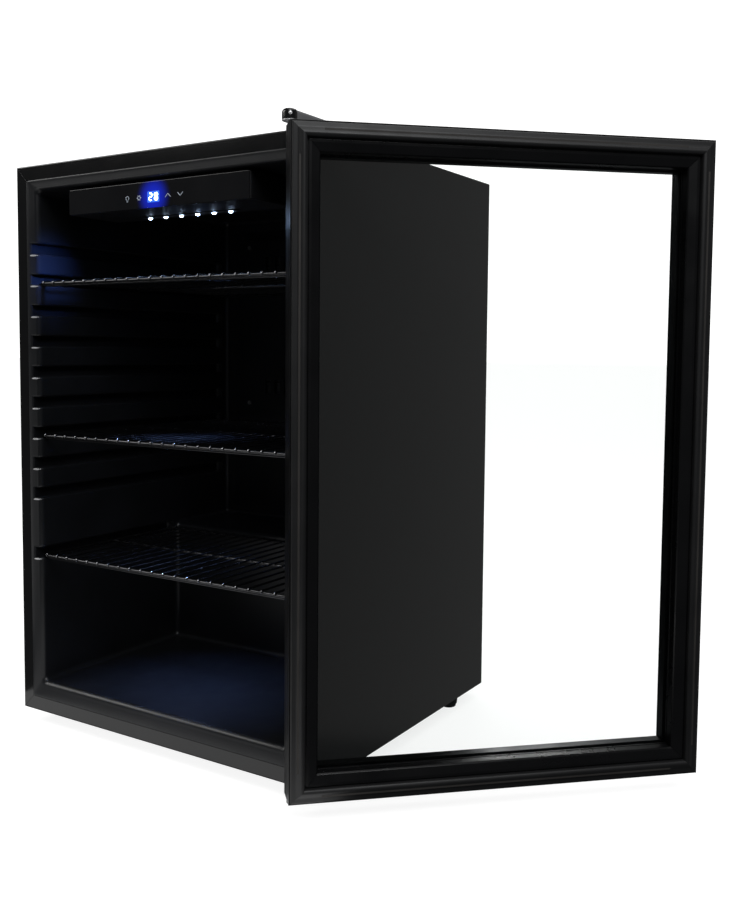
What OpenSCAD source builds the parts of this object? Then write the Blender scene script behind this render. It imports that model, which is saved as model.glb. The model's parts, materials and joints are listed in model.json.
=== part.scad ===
// Compact glass door merchandiser: an insulated cabinet with a full height glazed door,
// three wire shelves in moulded side slots and a compressor bay behind a raised step.
// Origin: on the floor under the middle of the cabinet. Front is -Y, up is +Z. Millimetres.

/* [Cabinet] */
// Width of the cabinet body
body_w = 540; // [480:1:600]
// Depth of the cabinet body without the door
body_d = 496; // [460:1:560]
// Height of the cabinet body above its feet
body_h = 820; // [780:1:900]
// Gap between the floor and the cabinet body
foot_h = 22; // [18:1:30]
// Thickness of the outer steel sheets
sheet_t = 1; // [0.6:0.1:1.5]
// Width of the steel band round the front opening
flange_w = 22; // [18:1:26]

/* [Compartment] */
// Thickness of the moulded plastic liner
liner_t = 2; // [1.5:0.1:3]
// Distance from the outer side to the floor of a shelf slot
slot_inset = 28; // [26:1:34]
// Distance from the outer side to the face between two slots
land_inset = 40; // [38:1:46]
// Height of the compartment floor above the underside of the body
floor_rise = 45; // [40:1:60]
// Thickness of the roof above the compartment
roof_t = 35; // [30:1:50]
// Thickness of the back wall with its insulation
back_t = 58; // [50:1:70]
// Distance from the front face to the step over the compressor
step_y = 302; // [290:1:320]
// Height of the top of the step above the underside of the body
step_z = 246; // [240:1:260]
// Depth of the sloped mouth of the compartment
mouth_d = 12; // [8:1:20]

/* [Shelves] */
// Height of the highest slot floor above the underside of the body
slot_top_z = 690; // [680:1:700]
// Distance between two slots
slot_pitch = 45.5; // [44:0.5:48]
// Clear height of a slot
slot_gap = 18; // [14:1:22]
// Radius of the shelf frame wire
frame_r = 2.5; // [2:0.1:3]
// Radius of the thin shelf wires
wire_r = 1.4; // [1:0.1:1.8]
// Radius of the guard wire under the front rail of a shelf
guard_r = 1.8; // [1.2:0.1:2.4]
// Number of thin wires on a shelf
wire_count = 22; // [14:1:28]
// Distance between two thin wires
wire_pitch = 21.5; // [16:0.5:22]
// Depth of the two full shelves between front and rear rail
shelf_d = 404; // [360:1:404]
// Depth of the short shelf in front of the step
short_shelf_d = 283; // [240:1:284]

/* [Door] */
// Width of the door
door_w = 538; // [500:1:560]
// Thickness of the door frame
door_t = 40; // [36:1:46]
// Gap between the door frame and the cabinet, filled by the gasket
door_gap = 7; // [6:0.5:9]
// Height of the underside of the door above the underside of the body
door_low = 4; // [3:0.5:8]
// Distance from the top of the door to the top of the body
door_drop = 2; // [2:0.5:6]
// Visible width of the door frame
rail_w = 37; // [32:1:44]
// Distance from the hinge axis to the hinge side of the door
axis_side = 8; // [7.5:0.1:9]
// Distance from the hinge axis to the front of the cabinet
axis_front = 31.2; // [31:0.1:33]
// Angle by which the stored door stands open
open_angle = 224; // [0:1:224]

/* [Hidden] */
$fn = 48;
front_y = -body_d / 2;
back_y = body_d / 2;
half_w = body_w / 2;
base_z = foot_h;
top_z = base_z + body_h;
in_w = half_w - sheet_t;
slot_x = half_w - slot_inset;
land_x = half_w - land_inset;
floor_z = base_z + floor_rise;
ceil_z = top_z - roof_t;
liner_back_y = back_y - back_t;
liner_step_y = front_y + step_y;
liner_step_z = base_z + step_z;
mouth_y = front_y + mouth_d;
nose_end_y = mouth_y + 5;
skin_y = front_y + sheet_t;
bay_wall = 38;
bay_y = liner_step_y + bay_wall;
bay_z = liner_step_z - bay_wall;
condenser_gap = 7;
slot_numbers = [0, 1, 2, 3, 4, 5, 6, 7, 8, 10];
function slot_z(n) = base_z + slot_top_z - n * slot_pitch;
// Lowest and highest point of the hollow behind each face between two slots, from the top down
hollow_tops = concat([ceil_z], [for (n = slot_numbers) slot_z(n) - liner_t]);
hollow_lows = concat([for (n = slot_numbers) slot_z(n) + slot_gap + liner_t], [floor_z]);
screw_r = 2;
shelf_clear = 0.5;
shelf_rise = frame_r + shelf_clear;
shelf_front_y = front_y + 12;
shelf_half_w = slot_x - 3;
shelf_slots = [1, 6, 10];

axis_x = half_w - axis_side;
axis_y = front_y - axis_front;
door_back_y = front_y - door_gap;
door_front_y = door_back_y - door_t;
door_z0 = base_z + door_low;
door_z1 = top_z - door_drop;
door_h = door_z1 - door_z0;
door_x1 = half_w;
door_x0 = half_w - door_w;
wall = 1.8;
box_w = 26;
lip_t = 3;
pane_t = 4;
gap_t = 12;
pane_side = box_w + 1.5;
bead_y0 = lip_t + 2 * pane_t + gap_t;
bead_t = 15.5;
gasket_gap = 0.3;
bush_r = 6;
bush_h = 16;
pin_r = 3;
pin_clear = 0.06;
plate_t = 3;
washer_r = 7;
magnet_inset = 40;
cap_r = 12;
cap_h = 15;
cap_wall = 2;
cap_x = half_w - cap_r;
cap_ys = [axis_y - 1, front_y + 66];
top_plate_half_w = cap_r - cap_wall - 0.3;
top_screw_points = [for (y = [22, 52]) [axis_x - 8, front_y + y]];
low_screw_points = [[axis_x - 24, front_y + 18], [axis_x - 8, front_y + 30]];

panel_w = 330;
panel_z0 = base_z + 743.5;
panel_z1 = base_z + 779;
panel_y = front_y + 7;
panel_t = 2;
housing_d = 96;
housing_y = panel_y + panel_t;
icon_z = base_z + 758;
icon_xs = [-48.5, -26.5, 26.5, 48.5];
led_count = 6;
led_pitch = 30;
led_y = front_y + 80;

evap_cover_half_w = 172;
evap_cover_z = [base_z + 444, base_z + 745];
evap_cover_d = 16;
evap_cover_y = liner_back_y - evap_cover_d;
evap_half_w = 150;
evap_y = liner_back_y - 9;
evap_screw_points = [for (x = [-1, 1]) for (z = [evap_cover_z[0] + 12, evap_cover_z[1] - 12])
    [x * (evap_cover_half_w - 10), z]];
coil_r = 2.5;
coil_runs = 12;
coil_pitch = 44;
coil_half_w = 210;
coil_z0 = base_z + 258;
coil_y = back_y - sheet_t - 3;
pipe_xs = [-coil_half_w + 6, coil_half_w + 8];
pipe_y = liner_back_y + 10;
pipe_z = bay_z - 60;
comp_x = 95;
comp_y = bay_y + 76;
comp_r = 60;
comp_z0 = base_z + 18;
comp_h = 150;
grommet_points = [for (x = [comp_x - 62, comp_x + 62]) for (y = [comp_y - 42, comp_y + 42]) [x, y]];
pan_z0 = comp_z0 + comp_h;
drain_x = 60;
drain_y = liner_back_y - 14;
gland_x = -200;
gland_z = base_z + 45;
cover_screw_xs = [-235, 0, 235];
cover_screw_zs = [base_z + 11, bay_z - 9];
foot_x = 245;
foot_ys = [-188, 177];
foot_r = 15;
stud_r = 4;
stud_clear = 0.08;
boss_r = 10;
boss_h = 10;
foot_gap = 4;

black = [0.07, 0.07, 0.075];
liner_black = [0.10, 0.10, 0.11];
galvanised = [0.62, 0.63, 0.64];
chrome = [0.80, 0.80, 0.82];
copper = [0.72, 0.42, 0.28];
rubber = [0.04, 0.04, 0.045];

// A box from its lowest corner to its highest corner
module span(p, q) {
    translate(p) cube(q - p);
}

// A cylinder along X, Y or Z from a start point
module rod_x(p, len, r) {
    translate(p) rotate([0, 90, 0]) cylinder(r = r, h = len);
}

module rod_y(p, len, r) {
    translate(p) rotate([-90, 0, 0]) cylinder(r = r, h = len);
}

module rod_z(p, len, r) {
    translate(p) cylinder(r = r, h = len);
}

// Extrudes a plane outline drawn in X and Z along Y, from y0 to y1
module slab_y(y0, y1) {
    translate([0, y1, 0]) rotate([90, 0, 0]) linear_extrude(y1 - y0) children();
}

module mirrored_x() {
    mirror([1, 0, 0]) children();
}

// ---------------------------------------------------------------- outer cabinet

// The front band of a side panel, mitred at the top and the bottom
module side_flange() {
    slab_y(front_y, skin_y) polygon([
        [in_w, base_z + sheet_t], [in_w, top_z - sheet_t],
        [half_w - flange_w, top_z - flange_w], [half_w - flange_w, base_z + flange_w]
    ]);
}

module side_panel() {
    span([in_w, front_y, base_z], [half_w, back_y, top_z]);
    side_flange();
}

module side_panel_left() {
    color(black) mirrored_x() side_panel();
}

module side_panel_right() {
    color(black) side_panel();
}

module top_panel() {
    color(black) difference() {
        union() {
            span([-in_w, front_y, top_z - sheet_t], [in_w, back_y, top_z]);
            slab_y(front_y, skin_y) polygon([
                [-in_w, top_z - sheet_t], [in_w, top_z - sheet_t],
                [half_w - flange_w, top_z - flange_w], [flange_w - half_w, top_z - flange_w]
            ]);
        }
        for (p = top_screw_points) rod_z([p[0], p[1], top_z - 2], 3, screw_r);
    }
}

module bottom_panel() {
    color(black) difference() {
        union() {
            span([-in_w, front_y, base_z], [in_w, bay_y, base_z + sheet_t]);
            slab_y(front_y, skin_y) polygon([
                [-in_w, base_z + sheet_t], [in_w, base_z + sheet_t],
                [half_w - flange_w, base_z + flange_w], [flange_w - half_w, base_z + flange_w]
            ]);
            for (s = [-1, 1]) rod_z([s * foot_x, foot_ys[0], base_z + sheet_t / 2], boss_h, boss_r);
        }
        for (s = [-1, 1]) rod_z([s * foot_x, foot_ys[0], base_z - 1], boss_h + 3, stud_r + stud_clear);
        for (p = low_screw_points) rod_z([p[0], p[1], base_z - 1], 3, screw_r);
    }
}

module back_panel() {
    color(black) span([-in_w, back_y - sheet_t, bay_z + sheet_t], [in_w, back_y, top_z - sheet_t]);
}

// The folded sheet between the insulation and the compressor bay
module bay_plate() {
    color(galvanised) difference() {
        union() {
            span([-in_w, bay_y, base_z + sheet_t], [in_w, bay_y + sheet_t, bay_z + sheet_t]);
            span([-in_w, bay_y, bay_z], [in_w, back_y, bay_z + sheet_t]);
            for (x = cover_screw_xs)
                span([x - 9, back_y - 3, bay_z - 16], [x + 9, back_y - sheet_t, bay_z + sheet_t / 2]);
        }
        rod_z([drain_x, drain_y, bay_z - 1], 3, 6);
        for (x = pipe_xs) rod_z([x, coil_y, bay_z - 1], 3, coil_r + 1);
        for (x = cover_screw_xs) rod_y([x, back_y - 5, cover_screw_zs[1]], 6, screw_r);
    }
}

module base_plate() {
    color(galvanised) difference() {
        union() {
            span([-in_w, bay_y + sheet_t, base_z], [in_w, back_y - sheet_t, base_z + 2]);
            for (s = [-1, 1]) rod_z([s * foot_x, foot_ys[1], base_z + 1], boss_h, boss_r);
            for (x = cover_screw_xs)
                span([x - 9, back_y - 3, base_z + 1], [x + 9, back_y - sheet_t, base_z + 18]);
        }
        for (s = [-1, 1]) rod_z([s * foot_x, foot_ys[1], base_z - 1], boss_h + 3, stud_r + stud_clear);
        for (x = cover_screw_xs) rod_y([x, back_y - 5, cover_screw_zs[0]], 6, screw_r);
        for (p = grommet_points) rod_z([p[0], p[1], base_z - 1], 4, 3);
    }
}

module insulation_foam() {
    color([0.86, 0.80, 0.62]) difference() {
        span([-in_w, skin_y, base_z + sheet_t],
             [in_w, back_y - sheet_t - condenser_gap, top_z - sheet_t]);
        span([-slot_x - liner_t, front_y, floor_z - liner_t],
             [slot_x + liner_t, liner_step_y + liner_t, ceil_z + liner_t]);
        span([-slot_x - liner_t, front_y, liner_step_z - liner_t],
             [slot_x + liner_t, liner_back_y + liner_t, ceil_z + liner_t]);
        span([flange_w - half_w, front_y, base_z + flange_w],
             [half_w - flange_w, nose_end_y, top_z - flange_w]);
        span([-half_w, bay_y, base_z], [half_w, back_y, bay_z + sheet_t]);
        for (s = [-1, 1]) rod_z([s * foot_x, foot_ys[0], base_z], boss_h + 8, boss_r);
        for (p = top_screw_points) rod_z([p[0], p[1], top_z - 12], 14, screw_r);
        for (p = low_screw_points) rod_z([p[0], p[1], base_z - 1], 12, screw_r);
        rod_z([drain_x, drain_y, bay_z], 60, 6);
    }
}

// ---------------------------------------------------------------- moulded liner

// The outline of a side wall in X and Z, folded outwards at every shelf slot
module wall_outline() {
    difference() {
        translate([land_x, floor_z - liner_t])
            square([slot_x + liner_t - land_x, ceil_z - floor_z + 2 * liner_t]);
        for (n = slot_numbers)
            translate([land_x - 1, slot_z(n)]) square([slot_x - land_x + 1, slot_gap]);
        for (i = [0:len(slot_numbers)])
            translate([land_x + liner_t, hollow_lows[i]])
                square([slot_x - land_x + 1, hollow_tops[i] - hollow_lows[i]]);
    }
}

// The solid sloped nose of a liner wall: plan outline in X and Y
module wall_nose() {
    intersection() {
        translate([0, 0, base_z]) linear_extrude(body_h) polygon([
            [half_w - flange_w, skin_y], [land_x, mouth_y], [land_x, nose_end_y],
            [half_w - flange_w, nose_end_y]
        ]);
        slab_y(front_y, nose_end_y + 1) polygon([
            [half_w - flange_w, base_z + flange_w], [half_w - flange_w, top_z - flange_w],
            [land_x, ceil_z], [land_x, floor_z]
        ]);
    }
}

module liner_wall() {
    difference() {
        union() {
            slab_y(nose_end_y, liner_back_y) wall_outline();
            wall_nose();
        }
        for (n = slot_numbers)
            span([land_x - 1, front_y - 1, slot_z(n)], [slot_x, nose_end_y + 1, slot_z(n) + slot_gap]);
        span([0, liner_step_y + liner_t, 0], [half_w, back_y, liner_step_z - liner_t]);
    }
}

module liner_wall_left() {
    color(liner_black) mirrored_x() liner_wall();
}

module liner_wall_right() {
    color(liner_black) liner_wall();
}

// The sloped nose of the ceiling or the floor, cut to meet the side noses
module flat_nose(outer_z, inner_z) {
    intersection() {
        rotate([90, 0, 90]) linear_extrude(body_w, center = true) polygon([
            [skin_y, outer_z], [mouth_y, inner_z], [nose_end_y, inner_z], [nose_end_y, outer_z]
        ]);
        slab_y(front_y, nose_end_y + 1) polygon([
            [flange_w - half_w, outer_z], [half_w - flange_w, outer_z],
            [land_x, inner_z], [-land_x, inner_z]
        ]);
    }
}

module liner_ceiling() {
    color(liner_black) {
        flat_nose(top_z - flange_w, ceil_z);
        span([-land_x, nose_end_y, ceil_z], [land_x, liner_back_y, ceil_z + liner_t]);
    }
}

module liner_floor() {
    color(liner_black) {
        flat_nose(base_z + flange_w, floor_z);
        span([-land_x, nose_end_y, floor_z - liner_t], [land_x, liner_step_y, floor_z]);
    }
}

module liner_back() {
    color(liner_black) span([-slot_x - liner_t, liner_back_y, liner_step_z - liner_t],
                            [slot_x + liner_t, liner_back_y + liner_t, ceil_z + liner_t]);
}

module liner_step() {
    color(liner_black) difference() {
        union() {
            span([-land_x, liner_step_y, floor_z - liner_t],
                 [land_x, liner_step_y + liner_t, liner_step_z]);
            span([-slot_x, liner_step_y + liner_t, liner_step_z - liner_t],
                 [slot_x, liner_back_y, liner_step_z]);
        }
        rod_z([drain_x, drain_y, liner_step_z - 4], 6, 6);
    }
}

// ---------------------------------------------------------------- cold side

module evaporator_plate() {
    color([0.78, 0.79, 0.80]) {
        span([-evap_half_w, evap_y, evap_cover_z[0] + 24],
             [evap_half_w, evap_y + 1.5, evap_cover_z[1] - 24]);
        for (i = [0:5]) rod_x([-evap_half_w + 20, evap_y + 1, evap_cover_z[0] + 48 + i * 41],
                              2 * evap_half_w - 40, 3);
        for (x = [-120, 120]) for (z = [evap_cover_z[0] + 70, evap_cover_z[1] - 70])
            rod_y([x, evap_y + 1, z], 8, 5);
    }
}

module evaporator_cover() {
    y0 = evap_cover_y;
    color(liner_black) difference() {
        span([-evap_cover_half_w, y0, evap_cover_z[0]],
             [evap_cover_half_w, liner_back_y, evap_cover_z[1]]);
        span([-evap_cover_half_w + 18, y0 + 2, evap_cover_z[0] + 20],
             [evap_cover_half_w - 18, liner_back_y + 1, evap_cover_z[1] - 20]);
        for (i = [-6:6]) for (z = [evap_cover_z[0] + 30, evap_cover_z[1] - 54])
            span([i * 20 - 6, y0 - 1, z], [i * 20 + 6, y0 + 3, z + 24]);
        for (p = evap_screw_points) rod_y([p[0], y0 - 1, p[1]], evap_cover_d + 2, screw_r);
    }
}

module temperature_sensor() {
    color(liner_black) {
        span([192, liner_back_y - 4, base_z + 560], [206, liner_back_y, base_z + 590]);
        rod_z([199, liner_back_y - 6, base_z + 552], 46, 3.5);
    }
}

// ---------------------------------------------------------------- controls and light

module control_housing() {
    y1 = housing_y + housing_d;
    color(liner_black) difference() {
        union() {
            span([-panel_w / 2, housing_y, panel_z0], [panel_w / 2, y1, panel_z1]);
            span([-panel_w / 2 + 12, housing_y + 12, panel_z1 - 1], [panel_w / 2 - 12, y1, ceil_z]);
        }
        span([-panel_w / 2 + 2, housing_y - 1, panel_z0 + 2],
             [panel_w / 2 - 2, y1 - 2, panel_z1 - 2]);
    }
}

module control_fascia() {
    color([0.03, 0.03, 0.035]) difference() {
        span([-panel_w / 2, panel_y, panel_z0], [panel_w / 2, housing_y, panel_z1]);
        span([-11, panel_y - 1, icon_z - 7.5], [11, housing_y + 1, icon_z + 7.5]);
    }
}

module control_display() {
    color([0.45, 0.70, 1.0])
        span([-11, panel_y, icon_z - 7.5], [11, housing_y + 2, icon_z + 7.5]);
}

module touch_icons() {
    color([0.75, 0.78, 0.82]) for (x = icon_xs)
        rod_y([x, panel_y - 0.3, icon_z], 0.3, 3.4);
}

module control_board() {
    color([0.10, 0.35, 0.18]) {
        span([-110, housing_y + 4, panel_z0 + 5], [110, housing_y + 5.6, panel_z1 - 5]);
        for (x = icon_xs) rod_y([x, housing_y, icon_z], 4.5, 4);
    }
}

module led_strip() {
    color([0.85, 0.87, 0.90])
        span([-88, led_y - 5, panel_z0 - 1.6], [88, led_y + 5, panel_z0]);
}

module led_lamps() {
    color([0.75, 0.85, 1.0]) for (i = [0:led_count - 1]) {
        x = (i - (led_count - 1) / 2) * led_pitch;
        rod_z([x, led_y, panel_z0 - 4], 2.4, 2.8);
    }
}

// ---------------------------------------------------------------- compressor bay

// The hermetic shell: a can with a domed top, hollow inside, on a pressed foot plate
module compressor() {
    color([0.06, 0.06, 0.065]) {
        translate([comp_x, comp_y, comp_z0]) rotate_extrude() polygon(concat(
            [[0, 0], [comp_r - 8, 0], [comp_r, 8], [comp_r, comp_h - 35]],
            [for (a = [15:15:75]) [comp_r * cos(a), comp_h - 35 + 35 * sin(a)]],
            [[0, comp_h], [0, comp_h - 8]],
            [for (a = [75:-15:15]) [(comp_r - 8) * cos(a), comp_h - 35 + 27 * sin(a)]],
            [[comp_r - 8, comp_h - 35], [comp_r - 8, 12], [comp_r - 12, 8], [0, 8]]
        ));
        difference() {
            span([comp_x - 72, comp_y - 52, comp_z0 - 3], [comp_x + 72, comp_y + 52, comp_z0]);
            for (p = grommet_points) rod_z([p[0], p[1], comp_z0 - 4], 5, 6);
        }
    }
}

// The relay box, its inner side hollowed to sit on the round shell
module compressor_relay() {
    color([0.09, 0.09, 0.10]) difference() {
        span([comp_x - comp_r - 26, comp_y - 22, comp_z0 + 40],
             [comp_x - comp_r + 3, comp_y + 22, comp_z0 + 96]);
        rod_z([comp_x, comp_y, comp_z0 + 30], 80, comp_r);
    }
}

// A rubber spool in each hole of the foot plate, standing on the bay floor
module compressor_grommets() {
    z0 = base_z + 2;
    color(rubber) for (p = grommet_points) difference() {
        union() {
            rod_z([p[0], p[1], z0], comp_z0 - 3 - z0, 9);
            rod_z([p[0], p[1], z0], comp_z0 + 1 - z0, 6);
            rod_z([p[0], p[1], comp_z0], 4, 9);
        }
        rod_z([p[0], p[1], z0 - 1], 30, 3);
    }
}

module compressor_bolts() {
    color(galvanised) for (p = grommet_points) {
        rod_z([p[0], p[1], base_z], comp_z0 + 6 - base_z, 3);
        rod_z([p[0], p[1], comp_z0 + 4], 4, 5.5, $fn = 6);
    }
}

// A flat tube run back and forth in the gap behind the insulation
module condenser_coil() {
    color(black) {
        for (i = [0:coil_runs - 1])
            rod_x([-coil_half_w, coil_y, coil_z0 + i * coil_pitch], 2 * coil_half_w, coil_r);
        for (i = [0:coil_runs - 2]) {
            s = i % 2 == 0 ? 1 : -1;
            translate([s * (coil_half_w - 0.5), coil_y, coil_z0 + (i + 0.5) * coil_pitch])
                rotate([90, -90 * s, 0]) rotate_extrude(angle = 180)
                    translate([coil_pitch / 2, 0]) circle(r = coil_r + 0.2);
        }
        rod_z([-coil_half_w + 6, coil_y, bay_z + 12], coil_z0 - bay_z - 12, coil_r + 0.2);
    }
}

// The line with the filter dryer from the coil to the compressor, and the return line
module refrigerant_pipes() {
    left = pipe_xs[0];
    right = pipe_xs[1];
    port = comp_x + comp_r - 1;
    port_z = comp_z0 + 61;
    color(copper) {
        rod_z([left, coil_y, pipe_z - 1], bay_z + 13 - pipe_z, coil_r);
        rod_y([left, pipe_y - 1, pipe_z], coil_y - pipe_y + 2, coil_r + 0.2);
        rod_x([left - 1, pipe_y, pipe_z], comp_x - 45 - left, coil_r);
        rod_x([left + 40, pipe_y, pipe_z], 80, 9);
        rod_z([right, coil_y, port_z - 1], coil_z0 - 7 - port_z, coil_r);
        rod_x([port - 1, coil_y, port_z], right - port + 2, coil_r + 0.2);
        rod_y([port, comp_y, port_z], coil_y - comp_y + 1, coil_r);
    }
}

module drip_pan() {
    color(liner_black) difference() {
        span([comp_x - 80, comp_y - 50, pan_z0], [comp_x + 60, comp_y + 60, pan_z0 + 24]);
        span([comp_x - 78, comp_y - 48, pan_z0 + 2], [comp_x + 58, comp_y + 58, pan_z0 + 25]);
    }
}

module drain_tube() {
    color([0.85, 0.85, 0.85]) difference() {
        rod_z([drain_x, drain_y, pan_z0 + 8], liner_step_z - pan_z0 - 8, 6);
        rod_z([drain_x, drain_y, pan_z0 + 7], liner_step_z - pan_z0 - 4, 4);
    }
}

module rear_cover() {
    z0 = base_z + 2;
    color(black) difference() {
        span([-in_w, back_y - sheet_t, z0], [in_w, back_y, bay_z]);
        for (i = [0:17]) for (z = [base_z + 34, base_z + 116])
            span([-150 + i * 20, back_y - 3, z], [-143 + i * 20, back_y + 1, z + 62]);
        rod_y([gland_x, back_y - 3, gland_z], 4, 8);
        for (x = cover_screw_xs) for (z = cover_screw_zs) rod_y([x, back_y - 3, z], 4, screw_r);
    }
}

// The screws of the rear cover and of the evaporator cover
module cover_screws() {
    color(galvanised) {
        for (x = cover_screw_xs) for (z = cover_screw_zs) {
            rod_y([x, back_y, z], 2.2, 3.8);
            rod_y([x, back_y - 8, z], 8.5, screw_r);
        }
        for (p = evap_screw_points) {
            rod_y([p[0], evap_cover_y - 1.8, p[1]], 1.8, 3.6);
            rod_y([p[0], evap_cover_y - 1, p[1]], evap_cover_d + 1, screw_r);
        }
    }
}

// A flanged grommet through which the mains cord leaves the bay
module cord_gland() {
    color(rubber) difference() {
        union() {
            rod_y([gland_x, back_y - 10, gland_z], 12, 8);
            rod_y([gland_x, back_y, gland_z], 4, 12);
        }
        rod_y([gland_x, back_y - 11, gland_z], 16, 4);
    }
}

// ---------------------------------------------------------------- hinges

// A flat arm with a round eye for the pin at its front, and a pad from pad_x behind the front
module hinge_plate(z, x0, x1, y1, pad_x, screw_points) {
    difference() {
        translate([0, 0, z]) linear_extrude(plate_t) {
            translate([axis_x, axis_y]) circle(r = x1 - axis_x);
            translate([x0, axis_y]) square([x1 - x0, y1 - axis_y]);
            translate([pad_x, front_y + 8]) square([x1 - pad_x, y1 - front_y - 8]);
        }
        rod_z([axis_x, axis_y, z - 1], plate_t + 2, pin_r);
        for (p = screw_points) rod_z([p[0], p[1], z - 1], plate_t + 2, screw_r);
    }
}

module top_hinge_plate() {
    color(galvanised) hinge_plate(top_z, cap_x - top_plate_half_w, cap_x + top_plate_half_w,
                                  front_y + 62, cap_x - top_plate_half_w, top_screw_points);
}

module bottom_hinge_plate() {
    color(black) hinge_plate(base_z - plate_t, axis_x - 7, half_w - 1, front_y + 42,
                             axis_x - 34, low_screw_points);
}

// The rounded outside, or with an inset the inside, of the cap over the top hinge
module cap_form(inset, height) {
    r = cap_r - inset;
    hull() for (y = cap_ys) translate([cap_x, y, 0]) {
        cylinder(r = r, h = height - 5);
        cylinder(r = r - 2, h = height - 1.5);
        cylinder(r = r - 5, h = height);
    }
}

module top_hinge_cover() {
    color(rubber) translate([0, 0, top_z]) difference() {
        cap_form(0, cap_h);
        translate([0, 0, -1]) cap_form(cap_wall, cap_h - cap_wall + 1);
    }
}

module hinge_pins() {
    color(chrome) {
        rod_z([axis_x, axis_y, door_z1 - bush_h + 2], top_z + plate_t + 3 - door_z1 + bush_h - 2, pin_r);
        rod_z([axis_x, axis_y, base_z - plate_t], door_z0 + bush_h - 2 - base_z + plate_t, pin_r);
    }
}

module hinge_screws() {
    color(galvanised) {
        for (p = top_screw_points) {
            rod_z([p[0], p[1], top_z + plate_t], 2.6, 3.8);
            rod_z([p[0], p[1], top_z - 11], plate_t + 11.5, screw_r);
        }
        for (p = low_screw_points) {
            rod_z([p[0], p[1], base_z - plate_t - 2.6], 2.6, 3.8);
            rod_z([p[0], p[1], base_z - plate_t - 0.5], plate_t + 10.5, screw_r);
        }
    }
}

module hinge_washers() {
    color([0.85, 0.85, 0.85]) for (z = [[base_z, door_z0 - 0.4], [door_z1 + 0.4, top_z]])
        translate([axis_x, axis_y, z[0]]) difference() {
            cylinder(r = washer_r, h = z[1] - z[0]);
            translate([0, 0, -1]) cylinder(r = pin_r, h = z[1] - z[0] + 2);
        }
}

// ---------------------------------------------------------------- door, drawn closed

// Turns the closed door about its hinge axis to the stored opening angle
module hung() {
    translate([axis_x, axis_y, 0]) rotate([0, 0, open_angle]) translate([-axis_x, -axis_y, 0])
        children();
}

// Distance from the door's outline: a ring between two insets, over a depth range
module ring(inset_out, inset_in, t0, t1) {
    slab_y(door_front_y + t0, door_front_y + t1) difference() {
        translate([door_x0 + inset_out, door_z0 + inset_out])
            square([door_w - 2 * inset_out, door_h - 2 * inset_out]);
        translate([door_x0 + inset_in, door_z0 + inset_in])
            square([door_w - 2 * inset_in, door_h - 2 * inset_in]);
    }
}

// The hollow frame profile all round: a box, with a lip that covers the edge of the glass
module frame_ring() {
    difference() {
        union() {
            ring(0, box_w, 0, door_t);
            ring(box_w - 1, rail_w, 0, lip_t);
        }
        ring(wall, box_w - wall, wall, door_t - wall);
        for (z = [door_z0 - 1, door_z1 - bush_h]) rod_z([axis_x, axis_y, z], bush_h + 1, bush_r);
    }
}

// The part of the door's face that one mitred member takes: side 0 left, 1 right, 2 top, 3 bottom
module member_zone(side, depth) {
    a = [door_x0, door_z0];
    b = [door_x1, door_z0];
    c = [door_x1, door_z1];
    d = [door_x0, door_z1];
    w = depth;
    outline = [
        [a, a + [w, w], d + [w, -w], d],
        [b, b + [-w, w], c + [-w, -w], c],
        [c, c + [-w, -w], d + [w, -w], d],
        [a, a + [w, w], b + [-w, w], b]
    ][side];
    slab_y(door_front_y - 1, front_y) polygon(outline);
}

module door_rail(side) {
    color(black) hung() intersection() {
        frame_ring();
        member_zone(side, rail_w + 2);
    }
}

module door_rail_hinge() {
    door_rail(1);
}

module door_rail_free() {
    door_rail(0);
}

module door_rail_top() {
    door_rail(2);
}

module door_rail_bottom() {
    door_rail(3);
}

// An angle in each corner that joins two frame members from inside
module door_corner_keys() {
    gap = wall + 0.1;
    leg = 60;
    color(liner_black) hung() difference() {
        ring(gap, box_w - gap, gap, door_t - gap);
        span([door_x0 + leg, door_front_y, door_z0 - 1], [door_x1 - leg, door_back_y, door_z1 + 1]);
        span([door_x0 - 1, door_front_y, door_z0 + leg], [door_x1 + 1, door_back_y, door_z1 - leg]);
        for (z = [door_z0 - 1, door_z1 - bush_h]) rod_z([axis_x, axis_y, z], bush_h + 1, bush_r);
    }
}

module door_bushes() {
    color([0.85, 0.85, 0.85]) hung() for (z = [door_z0, door_z1 - bush_h])
        translate([axis_x, axis_y, z]) difference() {
            cylinder(r = bush_r, h = bush_h);
            translate([0, 0, -1]) cylinder(r = pin_r + pin_clear, h = bush_h + 2);
        }
}

// Four mitred strips that hold the glazing from the inside
module glazing_beads() {
    color(liner_black) hung() for (side = [0:3]) intersection() {
        ring(box_w, rail_w, bead_y0, bead_y0 + bead_t);
        translate([side == 0 ? -0.1 : side == 1 ? 0.1 : 0, 0, side == 2 ? 0.1 : side == 3 ? -0.1 : 0])
            member_zone(side, rail_w + 2);
    }
}

module pane(t0) {
    hung() span([door_x0 + pane_side, door_front_y + t0, door_z0 + pane_side],
                [door_x1 - pane_side, door_front_y + t0 + pane_t, door_z1 - pane_side]);
}

module glass_outer() {
    color([0.55, 0.65, 0.65, 0.35]) pane(lip_t);
}

module glass_inner() {
    color([0.55, 0.65, 0.65, 0.35]) pane(lip_t + pane_t + gap_t);
}

module glass_spacer() {
    color([0.72, 0.73, 0.75]) hung() ring(31, 39, lip_t + pane_t, lip_t + pane_t + gap_t);
}

// A base strip and a soft bulb that meets the front of the cabinet
module door_gasket() {
    color(rubber) hung() difference() {
        union() {
            ring(1.5, 23, door_t, door_t + 1.6);
            ring(5, 20, door_t, door_t + door_gap - gasket_gap);
        }
        ring(9.5, 15.5, door_t - 1, door_t + 5);
    }
}

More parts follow.
